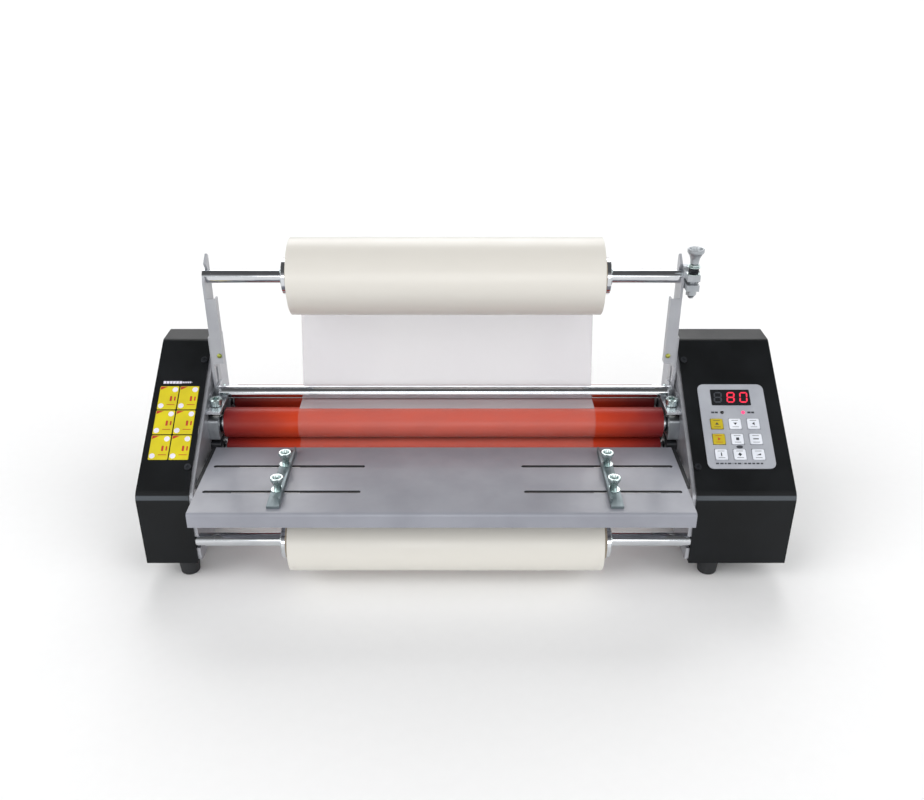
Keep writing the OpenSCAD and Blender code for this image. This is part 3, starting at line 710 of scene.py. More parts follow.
@dataclass
class Cases:
    """The two painted cases, their side plates and bases, the feet, the rods and the label block."""

    label_size: Point = (15.3, 21.5)
    label_foot: Point = (-232.0, 30.8)
    label_gap: float = 1.0
    columns: int = 2
    rows: int = 3
    vinyl: float = 0.12
    ink: float = 0.06
    arm_screw_z: float = 159.0

    def build(self) -> None:
        """Dresses the frame's sheet metal and adds the labels, the bolts and the screws."""
        dress(Finishes.CASE, 0.4, "left_cover", "right_cover")
        dress(Finishes.PLATE, 0.25, "left_side_plate", "right_side_plate")
        dress(Finishes.BASE, 0.2, "base_plates")
        dress(Finishes.FOOT, 0.4, "rubber_feet")
        dress(Finishes.ROD, 0.0, "tie_rods")
        dress(Finishes.BLACK_SCREW, 0.12, "cover_screws")
        self.labels()
        self.title_strip()
        self.foot_bolts()
        self.yellow_screws()

    def labels(self) -> None:
        """Lays six blank yellow plates, each with a red corner, three red bars and two white spots."""
        plates = Blank("label_plates", Finishes.LABEL)
        red = Blank("label_red_marks", Finishes.LABEL_RED)
        white = Blank("label_white_spots", Finishes.LABEL_WHITE)
        width, height = self.label_size
        for i in range(self.columns * self.rows):
            column, row = i % self.columns, i // self.columns
            x = self.label_foot[0] + (width + self.label_gap) * (column + 0.5) - self.label_gap / 2
            v = self.label_foot[1] + (height + self.label_gap) * (row + 0.5)
            plates.extrude(rounded_rect(width, height, 0.7), self.vinyl, SLOPE.at(x, v))
            left, top = -width / 2 + 0.4, height / 2 - 0.4
            corner = [(left, top), (left, top - 3.0), (-1.6, top)]
            red.extrude(corner, self.ink, SLOPE.at(x, v, self.vinyl))
            for dx, dv, wide, high in ((2.4, -0.8, 1.7, 4.6), (5.6, -0.8, 1.2, 3.8), (2.9, -6.4, 6.5, 0.6)):
                red.extrude(rounded_rect(wide, high, 0.25), self.ink, SLOPE.at(x + dx, v + dv, self.vinyl))
            for dx, dv in ((4.7, 7.6), (-4.9, -7.4)):
                spot = [(0.0, 0.0), (0.0, 2.25), (self.ink, 2.2), (self.ink, 0.0)]
                white.lathe(spot, SLOPE.at(x + dx, v + dv, self.vinyl), 32)
        for blank in (plates, red, white):
            blank.put("chassis", "black_powder_coat")

    def title_strip(self) -> None:
        """Lays the row of plain white bars above the label plates."""
        strip = Blank("label_title_bars", Finishes.LABEL_WHITE)
        x = self.label_foot[0] + 1.5
        v = self.label_foot[1] + self.rows * (self.label_size[1] + self.label_gap) + 3.2
        for wide, high in ((2.6, 2.4),) * 6 + ((1.5, 1.5),) * 5 + ((0.8, 1.0),):
            strip.extrude(rounded_rect(wide - 0.45, high, 0.2), self.vinyl, SLOPE.at(x + wide / 2, v))
            x += wide
        strip.put("chassis", "black_powder_coat")

    def foot_bolts(self) -> None:
        """Sinks a pan-head bolt in the bottom of each foot."""
        low, high = size_of("rubber_feet")
        bolts = Blank("foot_bolts", Finishes.SCREW)
        head = [(1.2, 0.0), (1.2, 1.1), (0.6, 2.9), (0.2, 3.1), (0.15, 0.0)]
        inset = 9.0
        for x in (low.x + inset, high.x - inset):
            for y in (low.y + inset, high.y - inset):
                bolts.lathe(head, along(Axis.Z, (x, y, 0)), 32)
        bolts.put("chassis", "screw_black")

    def yellow_screws(self) -> None:
        """Adds one small screw, in yellow zinc, to the front face of each film arm."""
        screws = Blank("arm_screws", Finishes.YELLOW_ZINC)
        corner = size_of("right_upright")[0]
        dome = [(0.1, 0.0), (0.1, 2.0), (-0.7, 1.9), (-1.2, 1.3), (-1.35, 0.7), (-0.9, 0.3), (-0.8, 0.0)]
        for side in (-1, 1):
            screws.lathe(dome, along(Axis.Y, (side * (corner.x + 2.6), corner.y, self.arm_screw_z)), 32)
        screws.put("chassis", "screw_black")


class Segment(Enum):
    """One bar of a seven-bar digit: its middle in cell units, and whether it lies across."""

    TOP = (0.0, 1.0, True)
    UPPER_RIGHT = (0.5, 0.5, False)
    LOWER_RIGHT = (0.5, -0.5, False)
    FOOT = (0.0, -1.0, True)
    LOWER_LEFT = (-0.5, -0.5, False)
    UPPER_LEFT = (-0.5, 0.5, False)
    MIDDLE = (0.0, 0.0, True)


class Sign(Enum):
    """The plain mark on a key, as an outline in millimetres."""

    UP = ((-1.5, -0.9), (1.5, -0.9), (0.0, 1.3))
    DOWN = ((-1.5, 0.9), (0.0, -1.3), (1.5, 0.9))
    LEFT = ((0.9, -1.5), (0.9, 1.5), (-1.3, 0.0))
    RIGHT = ((-0.9, -1.5), (1.3, 0.0), (-0.9, 1.5))
    STOP = ((-1.2, -1.2), (1.2, -1.2), (1.2, 1.2), (-1.2, 1.2))
    BAR = ((-2.2, -0.45), (2.2, -0.45), (2.2, 0.45), (-2.2, 0.45))
    TALL = ((-0.45, -1.6), (0.45, -1.6), (0.45, 1.6), (-0.45, 1.6))
    DIAMOND = ((-1.6, 0.0), (0.0, -1.6), (1.6, 0.0), (0.0, 1.6))
    WEDGE = ((-1.8, -0.8), (1.8, -0.8), (1.8, 0.9))


@dataclass
class ControlPanel:
    """The keypad, its display and its lamps."""

    thickness: float = 1.2
    window: tuple[float, float, float, float] = (217.2, 79.3, 248.9, 93.9)
    digit_x: tuple[float, float] = (233.2, 243.6)
    digit_cell: Point = (5.4, 4.3)
    bar_width: float = 1.25
    slant: float = 6.0
    lamp_v: float = 72.9
    key_top: float = 1.9
    key_v: Triple = (62.4, 48.8, 35.2)
    key_x: Triple = (218.9, 233.5, 248.1)
    yellow: tuple[int, int] = (1, 4)
    red_mark: int = 4
    ink: float = 0.05

    def build(self) -> None:
        """Dresses the panel and the keys, then adds everything printed or lit on them."""
        dress(Finishes.PANEL, 0.25, "control_panel")
        self.display()
        self.lamps()
        self.keys()
        self.print_marks()

    def display(self) -> None:
        """Sets the smoked window with its two lit digits and one that is dark."""
        left, low, right, high = self.window
        centre = (low + high) / 2
        lens = Blank("display_window", Finishes.LENS, 0.12)
        place = SLOPE.at((left + right) / 2, centre, self.thickness)
        lens.extrude(rounded_rect(right - left, high - low, 0.8), 0.35, place)
        lens.put("chassis", "panel_grey")
        face = self.thickness + 0.34
        lit = Blank("display_digits", Finishes.GLOW_RED)
        unlit = Blank("display_dark_digit", Finishes.INK)
        first, second = self.digit_x
        for x, gaps in ((first, ()), (second, (Segment.MIDDLE,))):
            for segment in Segment:
                if segment not in gaps:
                    self.bar(lit, x, centre, face, segment)
        for segment in Segment:
            self.bar(unlit, first - (second - first), centre, face - 0.02, segment)
        lit.put("chassis", "panel_grey")
        unlit.put("chassis", "panel_grey")

    def bar(self, digits: Blank, x: float, v: float, w: float, segment: Segment) -> None:
        """Adds one bar of a digit, with pointed ends and the digit's slant."""
        across, up, flat = segment.value
        length = (self.digit_cell[0] if flat else self.digit_cell[1]) - 0.3
        half, tip = self.bar_width / 2, length / 2
        flank = tip - half
        bar = [(-tip, 0), (-flank, -half), (flank, -half), (tip, 0), (flank, half), (-flank, half)]
        if not flat:
            bar = [(-b, a) for a, b in bar]
        lean = math.tan(math.radians(self.slant))
        height = up * self.digit_cell[1]
        shape = [(a + across * self.digit_cell[0] + (b + height) * lean, b + height) for a, b in bar]
        digits.extrude(shape, 0.08, SLOPE.at(x, v, w))

    def lamps(self) -> None:
        """Sets the two indicator lamps, one dark and one lit."""
        dome = [(0.0, 0.0), (0.0, 1.5), (0.35, 1.42), (0.65, 0.9), (0.75, 0.0)]
        lamps = (("heat_lamp_dark", 224.5, Finishes.LENS), ("heat_lamp_lit", 241.5, Finishes.GLOW_PINK))
        for name, x, finish in lamps:
            place = SLOPE.at(x, self.lamp_v, self.thickness)
            Blank(name, finish).lathe(dome, place, 32).put("chassis", "panel_grey")

    def keys(self) -> None:
        """Dresses the nine keys and prints a plain mark on each."""
        for i, sign in enumerate(Sign):
            number = i + 1
            row, column = divmod(i, 3)
            is_yellow = number in self.yellow
            dress(Finishes.KEY_YELLOW if is_yellow else Finishes.KEY_WHITE, 0.3, f"key_{number}")
            colour = Finishes.LABEL_RED if number == self.red_mark else Finishes.INK
            mark = Blank(f"key_{number}_mark", colour)
            place = SLOPE.at(self.key_x[column], self.key_v[row], self.key_top)
            mark.extrude(sign.value, self.ink, place)
            for dv in (-2.9, 2.9):
                low, high = dv - 0.18, dv + 0.18
                mark.extrude([(-2.6, low), (2.6, low), (2.6, high), (-2.6, high)], self.ink, place)
            mark.put(f"key_{number}_body", "key_yellow" if is_yellow else "key_white")

    def print_marks(self) -> None:
        """Prints the bars beside the lamps and along the foot, and the dark oval between the keys."""
        ink = Blank("panel_marks", Finishes.INK)
        bars = [(x, self.lamp_v, wide, 1.6) for x, wide in
                ((217.0, 2.6), (219.9, 2.4), (246.2, 2.6), (249.2, 2.4))]
        x, foot_v = 213.4, 27.6
        for wide in (3.0, 3.2, 2.0, 3.4, 1.2, 2.2, 3.4, 0.9, 2.6, 3.1, 2.8, 3.0, 2.6):
            bars.append((x + wide / 2, foot_v, wide - 0.6, 1.3))
            x += wide + 0.35
        for middle, v, wide, high in bars:
            ink.extrude(rounded_rect(wide, high, 0.2), 0.06, SLOPE.at(middle, v, self.thickness))
        oval = [(2.6 * a, 1.35 * b) for a, b in regular(32, 1.0)]
        ink.extrude(oval, 0.08, SLOPE.at(234.3, 42.0, self.thickness))
        ink.put("chassis", "panel_grey")


@dataclass
class Rollers:
    """The four heated rollers, their bearings and the parts that press them together."""

    radius: float = 12.5
    half: float = 180.0
    sleeve: float = 2.0
    shoulder: float = 8.0
    journal: float = 6.0
    rear_y: float = 118.0
    front_y: float = 76.0
    lower_z: float = 79.0
    upper_z: float = 105.0
    bearing_x: float = 184.5

    def build(self) -> None:
        """Dresses the front rollers, turns the rear ones, and fits the bearings and the pressure parts."""
        dress(Finishes.SILICONE, 0.0, "front_lower_sleeve", "front_upper_sleeve")
        dress(Finishes.ROD, 0.0, "front_lower_core", "front_upper_core")
        self.rear_roller("lower", self.lower_z, "rear_lower_roller_set")
        self.rear_roller("upper", self.upper_z, "rear_upper_roller_set")
        dress(Finishes.ACETAL, 0.3, "lower_bearings")
        dress(Finishes.CAST, 0.3, "upper_bearings")
        dress(Finishes.NYLON, 0.3, "spring_cups")
        dress(Finishes.BRACKET, 0.2, "pressure_bridges")
        dress(Finishes.QUARTZ, 0.0, "heater_lamps")
        self.seals()
        self.retaining_rings()
        self.pressure_screws()
        self.bridge_nuts()

    def rear_roller(self, level: str, z: float, body: str) -> None:
        """Turns a rear roller as a rubber sleeve on a steel core."""
        place = along(Axis.X, (0, self.rear_y, z))
        edge, inner = 0.5, self.radius - self.sleeve
        end = [(-self.half, inner), (-self.half, self.radius - edge), (-self.half + edge, self.radius)]
        profile = [*end, *mirrored(end[::-1], -1), end[0]]
        sleeve = Blank(f"rear_{level}_sleeve", Finishes.SILICONE).lathe(profile, place, 96)
        sleeve.put(body, "silicone_red", f"rear_{level}_roller")
        low, high = size_of(f"rear_{level}_roller")
        core = Blank(f"rear_{level}_core", Finishes.ROD)
        bore, chamfer, step = 4.5, 0.4, self.half + 2
        steps = [(low.x, bore), (low.x, self.journal - chamfer), (low.x + chamfer, self.journal),
                 (-step, self.journal), (-step, self.shoulder), (-self.half, self.shoulder),
                 (-self.half, inner), (self.half, inner), (self.half, self.shoulder),
                 (step, self.shoulder), (step, self.journal), (high.x - chamfer, self.journal),
                 (high.x, self.journal - chamfer), (high.x, bore), (low.x, bore)]
        core.lathe(steps, place, 72).put(body, "core_alloy")

    def seals(self) -> None:
        """Adds a steel race and a dark seal on the inner face of each bearing."""
        races = Blank("bearing_races", Finishes.ROD)
        seals = Blank("bearing_seals", Finishes.SPRING)
        race = washer(0.0, -0.5, 7.9, 9.6)
        seal = [(0.0, 6.2), (0.0, 7.9), (-0.35, 7.7), (-0.35, 6.4), (0.0, 6.2)]
        for side in (-1, 1):
            for y in (self.front_y, self.rear_y):
                for z in (self.lower_z, self.upper_z):
                    place = along(Axis.X, (side * self.bearing_x, y, z))
                    races.lathe(mirrored(race, side), place, 40)
                    seals.lathe(mirrored(seal, side), place, 40)
        races.put("chassis", "bearing_zinc")
        seals.put("chassis", "bearing_black")

    def retaining_rings(self) -> None:
        """Snaps an open ring round each journal beside its bearing, on the roller that it turns with."""
        band = arc((0, 0), 7.2, 20, 340, 36) + arc((0, 0), self.journal + 0.02, 340, 20, 36)
        for row, y, kind in (("front", self.front_y, "roller"), ("rear", self.rear_y, "roller_set")):
            for level, z in (("lower", self.lower_z), ("upper", self.upper_z)):
                ring = Blank(f"{row}_{level}_rings", Finishes.SPRING)
                for side in (-1, 1):
                    ring.extrude(band, 0.8, along(Axis.X, (side * 183.4 - 0.4, y, z), 50.0))
                ring.put(f"{row}_{level}_{kind}", "core_alloy")

    def pressure_screws(self) -> None:
        """Turns the round-headed pressure screws, each with a deep round socket."""
        foot = size_of("left_pressure_screw")[0].z
        head_z, head_r, socket = 121.3, 5.0, 2.4
        for side, name in ((-1, "left_pressure_screw"), (1, "right_pressure_screw")):
            x = side * (size_of("right_pressure_screw")[0].x + head_r)
            place = along(Axis.Z, (x, self.front_y, 0))
            screw = Blank(name + "_turned", Finishes.SCREW)
            profile = [(foot, 0.0), (foot, 2.6), (foot + 0.5, 2.9), (head_z, 2.9), (head_z, 3.4),
                       (head_z, head_r - 0.4), (head_z + 0.4, head_r), (head_z + 5.4, head_r),
                       (head_z + 6.0, head_r - 0.6), (head_z + 6.0, socket + 0.5), (head_z + 5.6, socket),
                       (head_z + 2.2, socket), (head_z + 1.8, 0.0)]
            screw.lathe(profile, place, 64).put(f"{name}_body", "screw_black", name)

    def bridge_nuts(self) -> None:
        """Adds a hexagon nut with its bolt end to each rear bridge, and the springs on all four cups."""
        nuts = Blank("bridge_nuts", Finishes.SCREW, 0.2)
        springs = Blank("pressure_springs", Finishes.SPRING)
        x = size_of("right_pressure_screw")[0].x + 5.0
        top = size_of("spring_cups")[0].z
        for side in (-1, 1):
            nut = along(Axis.Z, (side * x, 104.5, 121.0), 15)
            nuts.extrude(regular(6, 3.6), 2.6, nut)
            nuts.lathe([(2.6, 0.0), (2.6, 1.9), (4.2, 1.8), (4.6, 1.2), (4.6, 0.0)], nut, 24)
            for y, length in ((self.front_y, 5.4), (self.rear_y, 1.6)):
                springs.helix(5.2, 0.4, length, length / 1.35, along(Axis.Z, (side * x, y, top + 0.5)))
        nuts.put("chassis", "bridge_steel")
        springs.put("chassis", "bridge_steel")


@dataclass
class FilmRolls:
    """Both film rolls with their cores, shafts and chucks."""

    half: float = 123.0
    core: Point = (12.7, 15.5)
    core_half: float = 126.0

    def build(self) -> None:
        """Winds the two rolls and dresses their shafts."""
        for level in ("upper", "lower"):
            low, high = size_of(f"{level}_film_roll")
            centre = middle_of(f"{level}_film_roll")
            finish = WoundFilm(f"wound_film_{level}", "DCD9D1", "C8C4BD", 0.4, ior=1.55, coat=0.15,
                               y_mm=centre.y + ORIGIN.y / MM, z_mm=centre.z + ORIGIN.z / MM)
            place = along(Axis.X, centre)
            roll = Blank(f"{level}_film_wound", finish).lathe(self.wound((high.z - low.z) / 2), place, 160)
            roll.put(f"{level}_film", "film_roll", f"{level}_film_roll")
            tube = Blank(f"{level}_film_core", Finishes.CARD)
            inner, outer = self.core
            end = [(-self.core_half, inner), (-self.core_half, outer - 0.3), (-self.core_half + 0.3, outer)]
            tube.lathe([*end, *mirrored(end[::-1], -1), end[0]], place, 96)
            tube.put(f"{level}_film", "film_roll")
            dress(Finishes.SHAFT, 0.0, f"{level}_film_shaft")
            self.chuck_screws(level, centre)

    def wound(self, radius: float) -> list[Point]:
        """Returns the roll's profile, whose ends step in and out a little from layer to layer."""
        inner = self.core[1] + 0.05
        steps = [0.0, 0.16, 0.05, 0.22, 0.1, 0.02, 0.18, 0.08, 0.14]
        end: list[Point] = []
        for i, step in enumerate(steps):
            start, stop = (inner + (radius - 0.3 - inner) * k / len(steps) for k in (i, i + 1))
            end += [(-self.half + step, start), (-self.half + step, stop)]
        end.append((-self.half + 0.35, radius))
        return [*end, *mirrored(end[::-1], -1), end[0]]

    def chuck_screws(self, level: str, centre: Vector) -> None:
        """Faces each chuck with a ring of grey alloy and three small socket screws."""
        rings = Blank(f"{level}_chuck_faces", Finishes.CAST)
        screws = Blank(f"{level}_chuck_screws", Finishes.SCREW)
        face = self.half + 6.0
        ring = [(face, 8.0), (face, 13.6), (face + 0.5, 13.4), (face + 0.5, 8.2), (face, 8.0)]
        head = [(0.0, 0.0), (0.0, 1.5), (0.7, 1.5), (1.0, 1.2), (1.0, 0.7), (0.4, 0.6), (0.4, 0.0)]
        for side in (-1, 1):
            rings.lathe(mirrored(ring, side), along(Axis.X, centre), 72)
            for turn in (20.0, 140.0, 260.0):
                spot = along(Axis.X, (centre.x + side * (face + 0.5), centre.y, centre.z), turn)
                screws.lathe(mirrored(head, side), spot @ Matrix.Translation((10.9, 0, 0)), 20)
        rings.put(f"{level}_film", "rod_steel")
        screws.put(f"{level}_film", "rod_steel")


@dataclass
class FilmWebs:
    """The film as it runs from each roll, round its front roller, through both nips and out at the back."""

    thickness: float = 0.2
    gap: float = 0.25
    roll_gap: float = 0.3
    bar: Point = (95.0, 123.6)
    bar_radius: float = 5.5
    bar_gap: float = 0.1
    rollers: Rollers = field(default_factory=Rollers)

    def build(self) -> None:
        """Threads both webs and dresses the bar that only the upper one bends round."""
        dress(Finishes.SHAFT, 0.0, "film_guide_bar")
        reach = self.rollers.radius + self.gap + self.thickness / 2
        tail = size_of("upper_film_web")[1].y
        for level, side in (("upper", 1), ("lower", -1)):
            low, high = size_of(f"{level}_film_roll")
            roll = tuple(middle_of(f"{level}_film_roll").yz)
            wrap = (high.z - low.z) / 2 + self.roll_gap + self.thickness / 2
            roller = (self.rollers.front_y, self.rollers.upper_z if side > 0 else self.rollers.lower_z)
            end = (tail, roller[1] - side * reach)
            if side > 0:
                bend = self.bar_radius + self.bar_gap + self.thickness / 2
                leave = tangent(roll, wrap, self.bar, -bend, 1)
                cross = tangent(self.bar, bend, roller, reach, 1)
                free = arc(roll, wrap, leave + 25, leave, 16) + arc(self.bar, bend, leave, cross, 20)
                wet = arc(roller, reach, cross + 180, 270, 48) + [end]
            else:
                leave = tangent(roll, wrap, roller, reach, -1)
                free = arc(roll, wrap, leave - 25, leave, 16)
                wet = arc(roller, reach, leave + 180, 90, 32) + [end]
            self.thread(f"{level}_film_web_free", free + wet[:1], Finishes.WEB, f"{level}_film_web")
            self.thread(f"{level}_film_web_on_rubber", wet, Finishes.WET_WEB)

    def thread(self, name: str, path: list[Point], finish: Finish, *replaced: str) -> None:
        """Makes one stretch of web as a closed ribbon along a path in Y and Z.

        Args:
            name: The piece's name.
            path: The points of its middle line.
            finish: The film's finish on this stretch.
            replaced: The frame's node that it stands for.
        """
        sides: list[list[Point]] = [[], []]
        for i, (y, z) in enumerate(path):
            before, after = path[max(i - 1, 0)], path[min(i + 1, len(path) - 1)]
            run = math.hypot(after[0] - before[0], after[1] - before[1])
            across = (-(after[1] - before[1]) / run, (after[0] - before[0]) / run)
            for line, sign in zip(sides, (0.5, -0.5)):
                line.append((y + sign * self.thickness * across[0], z + sign * self.thickness * across[1]))
        low, high = size_of("upper_film_web")
        web = Blank(name, finish)
        web.extrude(sides[0] + sides[1][::-1], high.x - low.x, along(Axis.X, (low.x, 0, 0)))
        web.put("chassis", "film_web", *replaced)


def tangent(one: Point, radius: float, two: Point, other: float, side: int) -> float:
    """Finds where a line that touches two circles leaves the first one.

    Args:
        one: The first circle's centre.
        radius: The first circle's radius.
        two: The second circle's centre.
        other: The second circle's radius, negative if the line keeps both circles on one side.
        side: 1 or -1, for which of the two such lines.

    Returns:
        The angle of the touching point on the first circle, in degrees.
    """
    run = (two[0] - one[0], two[1] - one[1])
    turn = math.acos((radius + other) / math.hypot(*run))
    return math.degrees(math.atan2(run[1], run[0]) + side * turn)


@dataclass
class FeedTable:
    """The folded table with its two sliding guides and their thumbscrews."""

    rim: float = 4.9
    neck: float = 2.8
    height: float = 11.0
    knurls: int = 28
    slot_from: float = 62.0
    slot_to: float = 182.0
    slot_half: float = 1.8
    table_t: float = 1.8

    def build(self) -> None:
        """Dresses the table and guides, and turns the four thumbscrews."""
        dress(Finishes.TABLE, 0.35, "feed_table")
        for side in ("left", "right"):
            dress(Finishes.GUIDE, 0.3, f"{side}_guide")
            self.guide_parts(side)
            for place in ("front", "rear"):
                self.thumbscrew(f"{side}_{place}_thumbscrew")
        self.table_screws()
        self.gap_shade_strips()
        self.painted_slot_shade()

    def gap_shade_strips(self) -> None:
        """Fills the gap between each end of the table and its side plate with a black strip, painted shade
        for the dark gap.
        """
        table = size_of("feed_table")
        # Black strips that stand as painted shade in the gaps beside the table.
        gap_shade = Blank("table_gap_shade_strips", Finishes.FOOT, 0.3)
        width, height, front = 3.6, 3.2, 3.0
        x, z = table[1].x + 0.1 + width / 2, table[1].z - 0.8 - height / 2
        for side in (-1, 1):
            place = along(Axis.Y, (side * x, front, z))
            gap_shade.extrude(rounded_rect(height, width, 0.5), table[1].y - front, place)
        gap_shade.put("chassis", "foot_rubber")

    def painted_slot_shade(self) -> None:
        """Lines the walls of the four slots with a thin black sheet, painted shade that darkens the slots."""
        top = size_of("feed_table")[1].z
        # A thin black lining that stands as painted shade inside the slots.
        slot_shade = Blank("painted_slot_shade", Finishes.FOOT)
        middle = (self.slot_from + self.slot_to) / 2
        straight = self.slot_to - self.slot_from - 2 * self.slot_half
        outer, inner = (rounded_rect(straight + 2 * r, 2 * r, r - 0.01, 8)
                        for r in (self.slot_half - 0.01, self.slot_half - 0.12))
        for side in (-1, 1):
            for name in ("front", "rear"):
                y = middle_of(f"right_{name}_thumbscrew").y
                place = along(Axis.Z, (side * middle, y, top - self.table_t))
                slot_shade.frame_plate(outer, inner, self.table_t - 0.02, place)
        slot_shade.put("chassis", "foot_rubber")

    def thumbscrew(self, name: str) -> None:
        """Turns a flared thumbscrew with a hollow top and a knurled rim."""
        low, high = size_of(name)
        place = along(Axis.Z, (*middle_of(name).xy, high.z - self.height))
        h, rim, neck = self.height, self.rim, self.neck
        foot = low.z - (high.z - h)
        profile = [(foot, 0.0), (foot, 1.3), (foot + 0.4, 1.65), (-0.02, 1.65), (0.0, neck - 0.2),
                   (0.2, neck)]
        profile += [(z, neck + (rim - neck) * ((z - 0.3 * h) / (0.45 * h)) ** 1.6) for z in
                    (0.3 * h, 0.4 * h, 0.5 * h, 0.6 * h, 0.68 * h)]
        profile += [(0.75 * h, rim - 0.15), (0.78 * h, rim), (0.97 * h, rim), (h, rim - 0.35), (h, rim - 1.2),
                    (0.97 * h, rim - 1.5), (0.72 * h, rim - 1.9), (0.6 * h, 1.9), (0.58 * h, 0.0)]
        screw = Blank(f"{name}_turned", Finishes.SCREW).lathe(profile, place, 64)
        screw.put(f"{name}_body", "thumbscrew_zinc", name)
        grip = Blank(f"{name}_knurl", Finishes.SCREW)
        tooth = [(0, -0.28), (0.24, 0.0), (0, 0.28), (-0.15, 0.0)]
        edge = Matrix.Translation((rim - 0.12, 0, 0.8 * h))
        for i in range(self.knurls):
            turn = Matrix.Rotation(math.tau * i / self.knurls, 4, "Z")
            grip.extrude(tooth, 0.16 * h, place @ turn @ edge)
        grip.put(f"{name}_body", "thumbscrew_zinc")

    def guide_parts(self, side: str) -> None:
        """Adds the washers under a guide's two thumbscrews."""
        x = middle_of(f"{side}_guide").x
        parts = Blank(f"{side}_guide_washers", Finishes.SCREW)
        top = size_of(f"{side}_front_thumbscrew")[1].z - self.height
        for place in ("front", "rear"):
            y = middle_of(f"{side}_{place}_thumbscrew").y
            parts.lathe(washer(-0.12, -0.6, 1.8, 5.0), along(Axis.Z, (x, y, top + 0.62)), 40)
        parts.put(f"{side}_paper_guide", "thumbscrew_zinc")

    def table_screws(self) -> None:
        """Adds two small yellow screws at each end of the table."""
        table = size_of("feed_table")
        screws = Blank("table_screws", Finishes.YELLOW_ZINC)
        dome = [(-0.1, 0.0), (-0.1, 2.7), (0.7, 2.5), (1.3, 1.6), (1.6, 0.5), (1.1, 0.0)]
        for side in (-1, 1):
            for y in (20.0, 50.0):
                spot = along(Axis.X, (side * (table[1].x - 1.5), y, table[1].z - 7))
                screws.lathe(mirrored(dome, -side), spot, 28)
        screws.put("chassis", "screw_black")


@dataclass
class FilmArms:
    """The two arms that carry the upper film shaft, and the brake on its right end."""

    knob_z: float = 239.0
    lug_top: float = 230.5
    nut_foot: float = 213.5

    def build(self) -> None:
        """Dresses the arms, turns the brake screw and winds its spring."""
        dress(Finishes.ARM, 0.25, "left_upright", "right_upright")
        dress(Finishes.CAST, 0.4, "brake_clamp")
        self.brake_screw()
        self.brake_spring()

    def brake_screw(self) -> None:
        """Turns the flared brake knob and its threaded shank."""
        low, high = size_of("brake_screw")
        x, y, _ = middle_of("brake_screw")
        place = along(Axis.Z, (x, y, 0))
        rim, top = (high.x - low.x) / 2, high.z
        h = top - self.knob_z
        flare = [(self.knob_z + h * t, 3.2 + (rim - 3.2) * t**2.2 / 0.6) for t in (0.25, 0.4, 0.55, 0.68)]
        profile = [(low.z, 0.0), (low.z, 1.9), (low.z + 0.6, 2.2), (self.knob_z, 2.2), (self.knob_z, 3.0),
                   (self.knob_z + 0.3, 3.3), *flare, (top - 0.24 * h, rim - 0.1), (top - 0.2 * h, rim),
                   (top - 0.4, rim), (top, rim - 0.4), (top, rim - 1.3), (top - 0.5, rim - 1.6),
                   (top - 0.35 * h, rim - 2.2), (top - 0.42 * h, 0.0)]
        knob = Blank("brake_screw_turned", Finishes.CAST).lathe(profile, place, 72)
        knob.put("brake_screw_body", "thumbscrew_zinc", "brake_screw")
        thread = Blank("brake_screw_thread", Finishes.SPRING)
        pitch, start = 0.9, self.lug_top + 0.3
        for foot, end in ((start, self.knob_z - 0.4), (low.z + 0.8, self.nut_foot - 0.2)):
            thread.helix(2.2, 0.34, end - foot, (end - foot) / pitch, along(Axis.Z, (x, y, foot)))
        thread.put("brake_screw_body", "thumbscrew_zinc")

    def brake_spring(self) -> None:
        """Winds the short spring above the clamp, between two washers, and adds the lock nut."""
        x, y, _ = middle_of("brake_screw")
        spring = Blank("brake_spring", Finishes.SPRING)
        spring.helix(3.6, 0.5, 4.4, 3.5, along(Axis.Z, (x, y, self.lug_top + 0.9)))
        spring.put("chassis", "clamp_alloy")
        washers = Blank("brake_washers", Finishes.SCREW)
        for z in (self.lug_top, self.lug_top + 5.7):
            washers.lathe(washer(0.0, 0.6, 2.7, 5.0), along(Axis.Z, (x, y, z)), 40)
        washers.put("chassis", "clamp_alloy")
        nut = Blank("brake_lock_nut", Finishes.SCREW, 0.25)
        place = along(Axis.Z, (x, y, self.lug_top + 6.4))
        nut.frame_plate(regular(6, 4.3, 10), regular(6, 2.7, 10), 1.6, place)
        nut.put("chassis", "clamp_alloy")


@dataclass
class Drive:
    """The gear train, the motor and the boards inside the right case."""

    def build(self) -> None:
        """Dresses the drive and the boards, and adds two bands round the motor."""
        dress(Finishes.GEAR, 0.1, "front_lower_gear", "front_upper_gear", "rear_lower_gear",
              "rear_upper_gear")
        dress(Finishes.BRASS, 0.1, "idler_gear", "motor_pinion")
        dress(Finishes.CAST, 0.4, "gear_motor")
        dress(Finishes.BRACKET, 0.2, "motor_bracket")
        dress(Finishes.BOARD, 0.1, "circuit_boards")
        low, (_, y, z) = size_of("gear_motor")[0], middle_of("gear_motor")
        band = Blank("motor_bands", Finishes.FOIL)
        for x in (low.x + 27, low.x + 47):
            band.lathe(washer(0.0, 2.4, 17.0, 17.4), along(Axis.X, (x, y, z)), 64)
        band.put("chassis", "motor_steel")


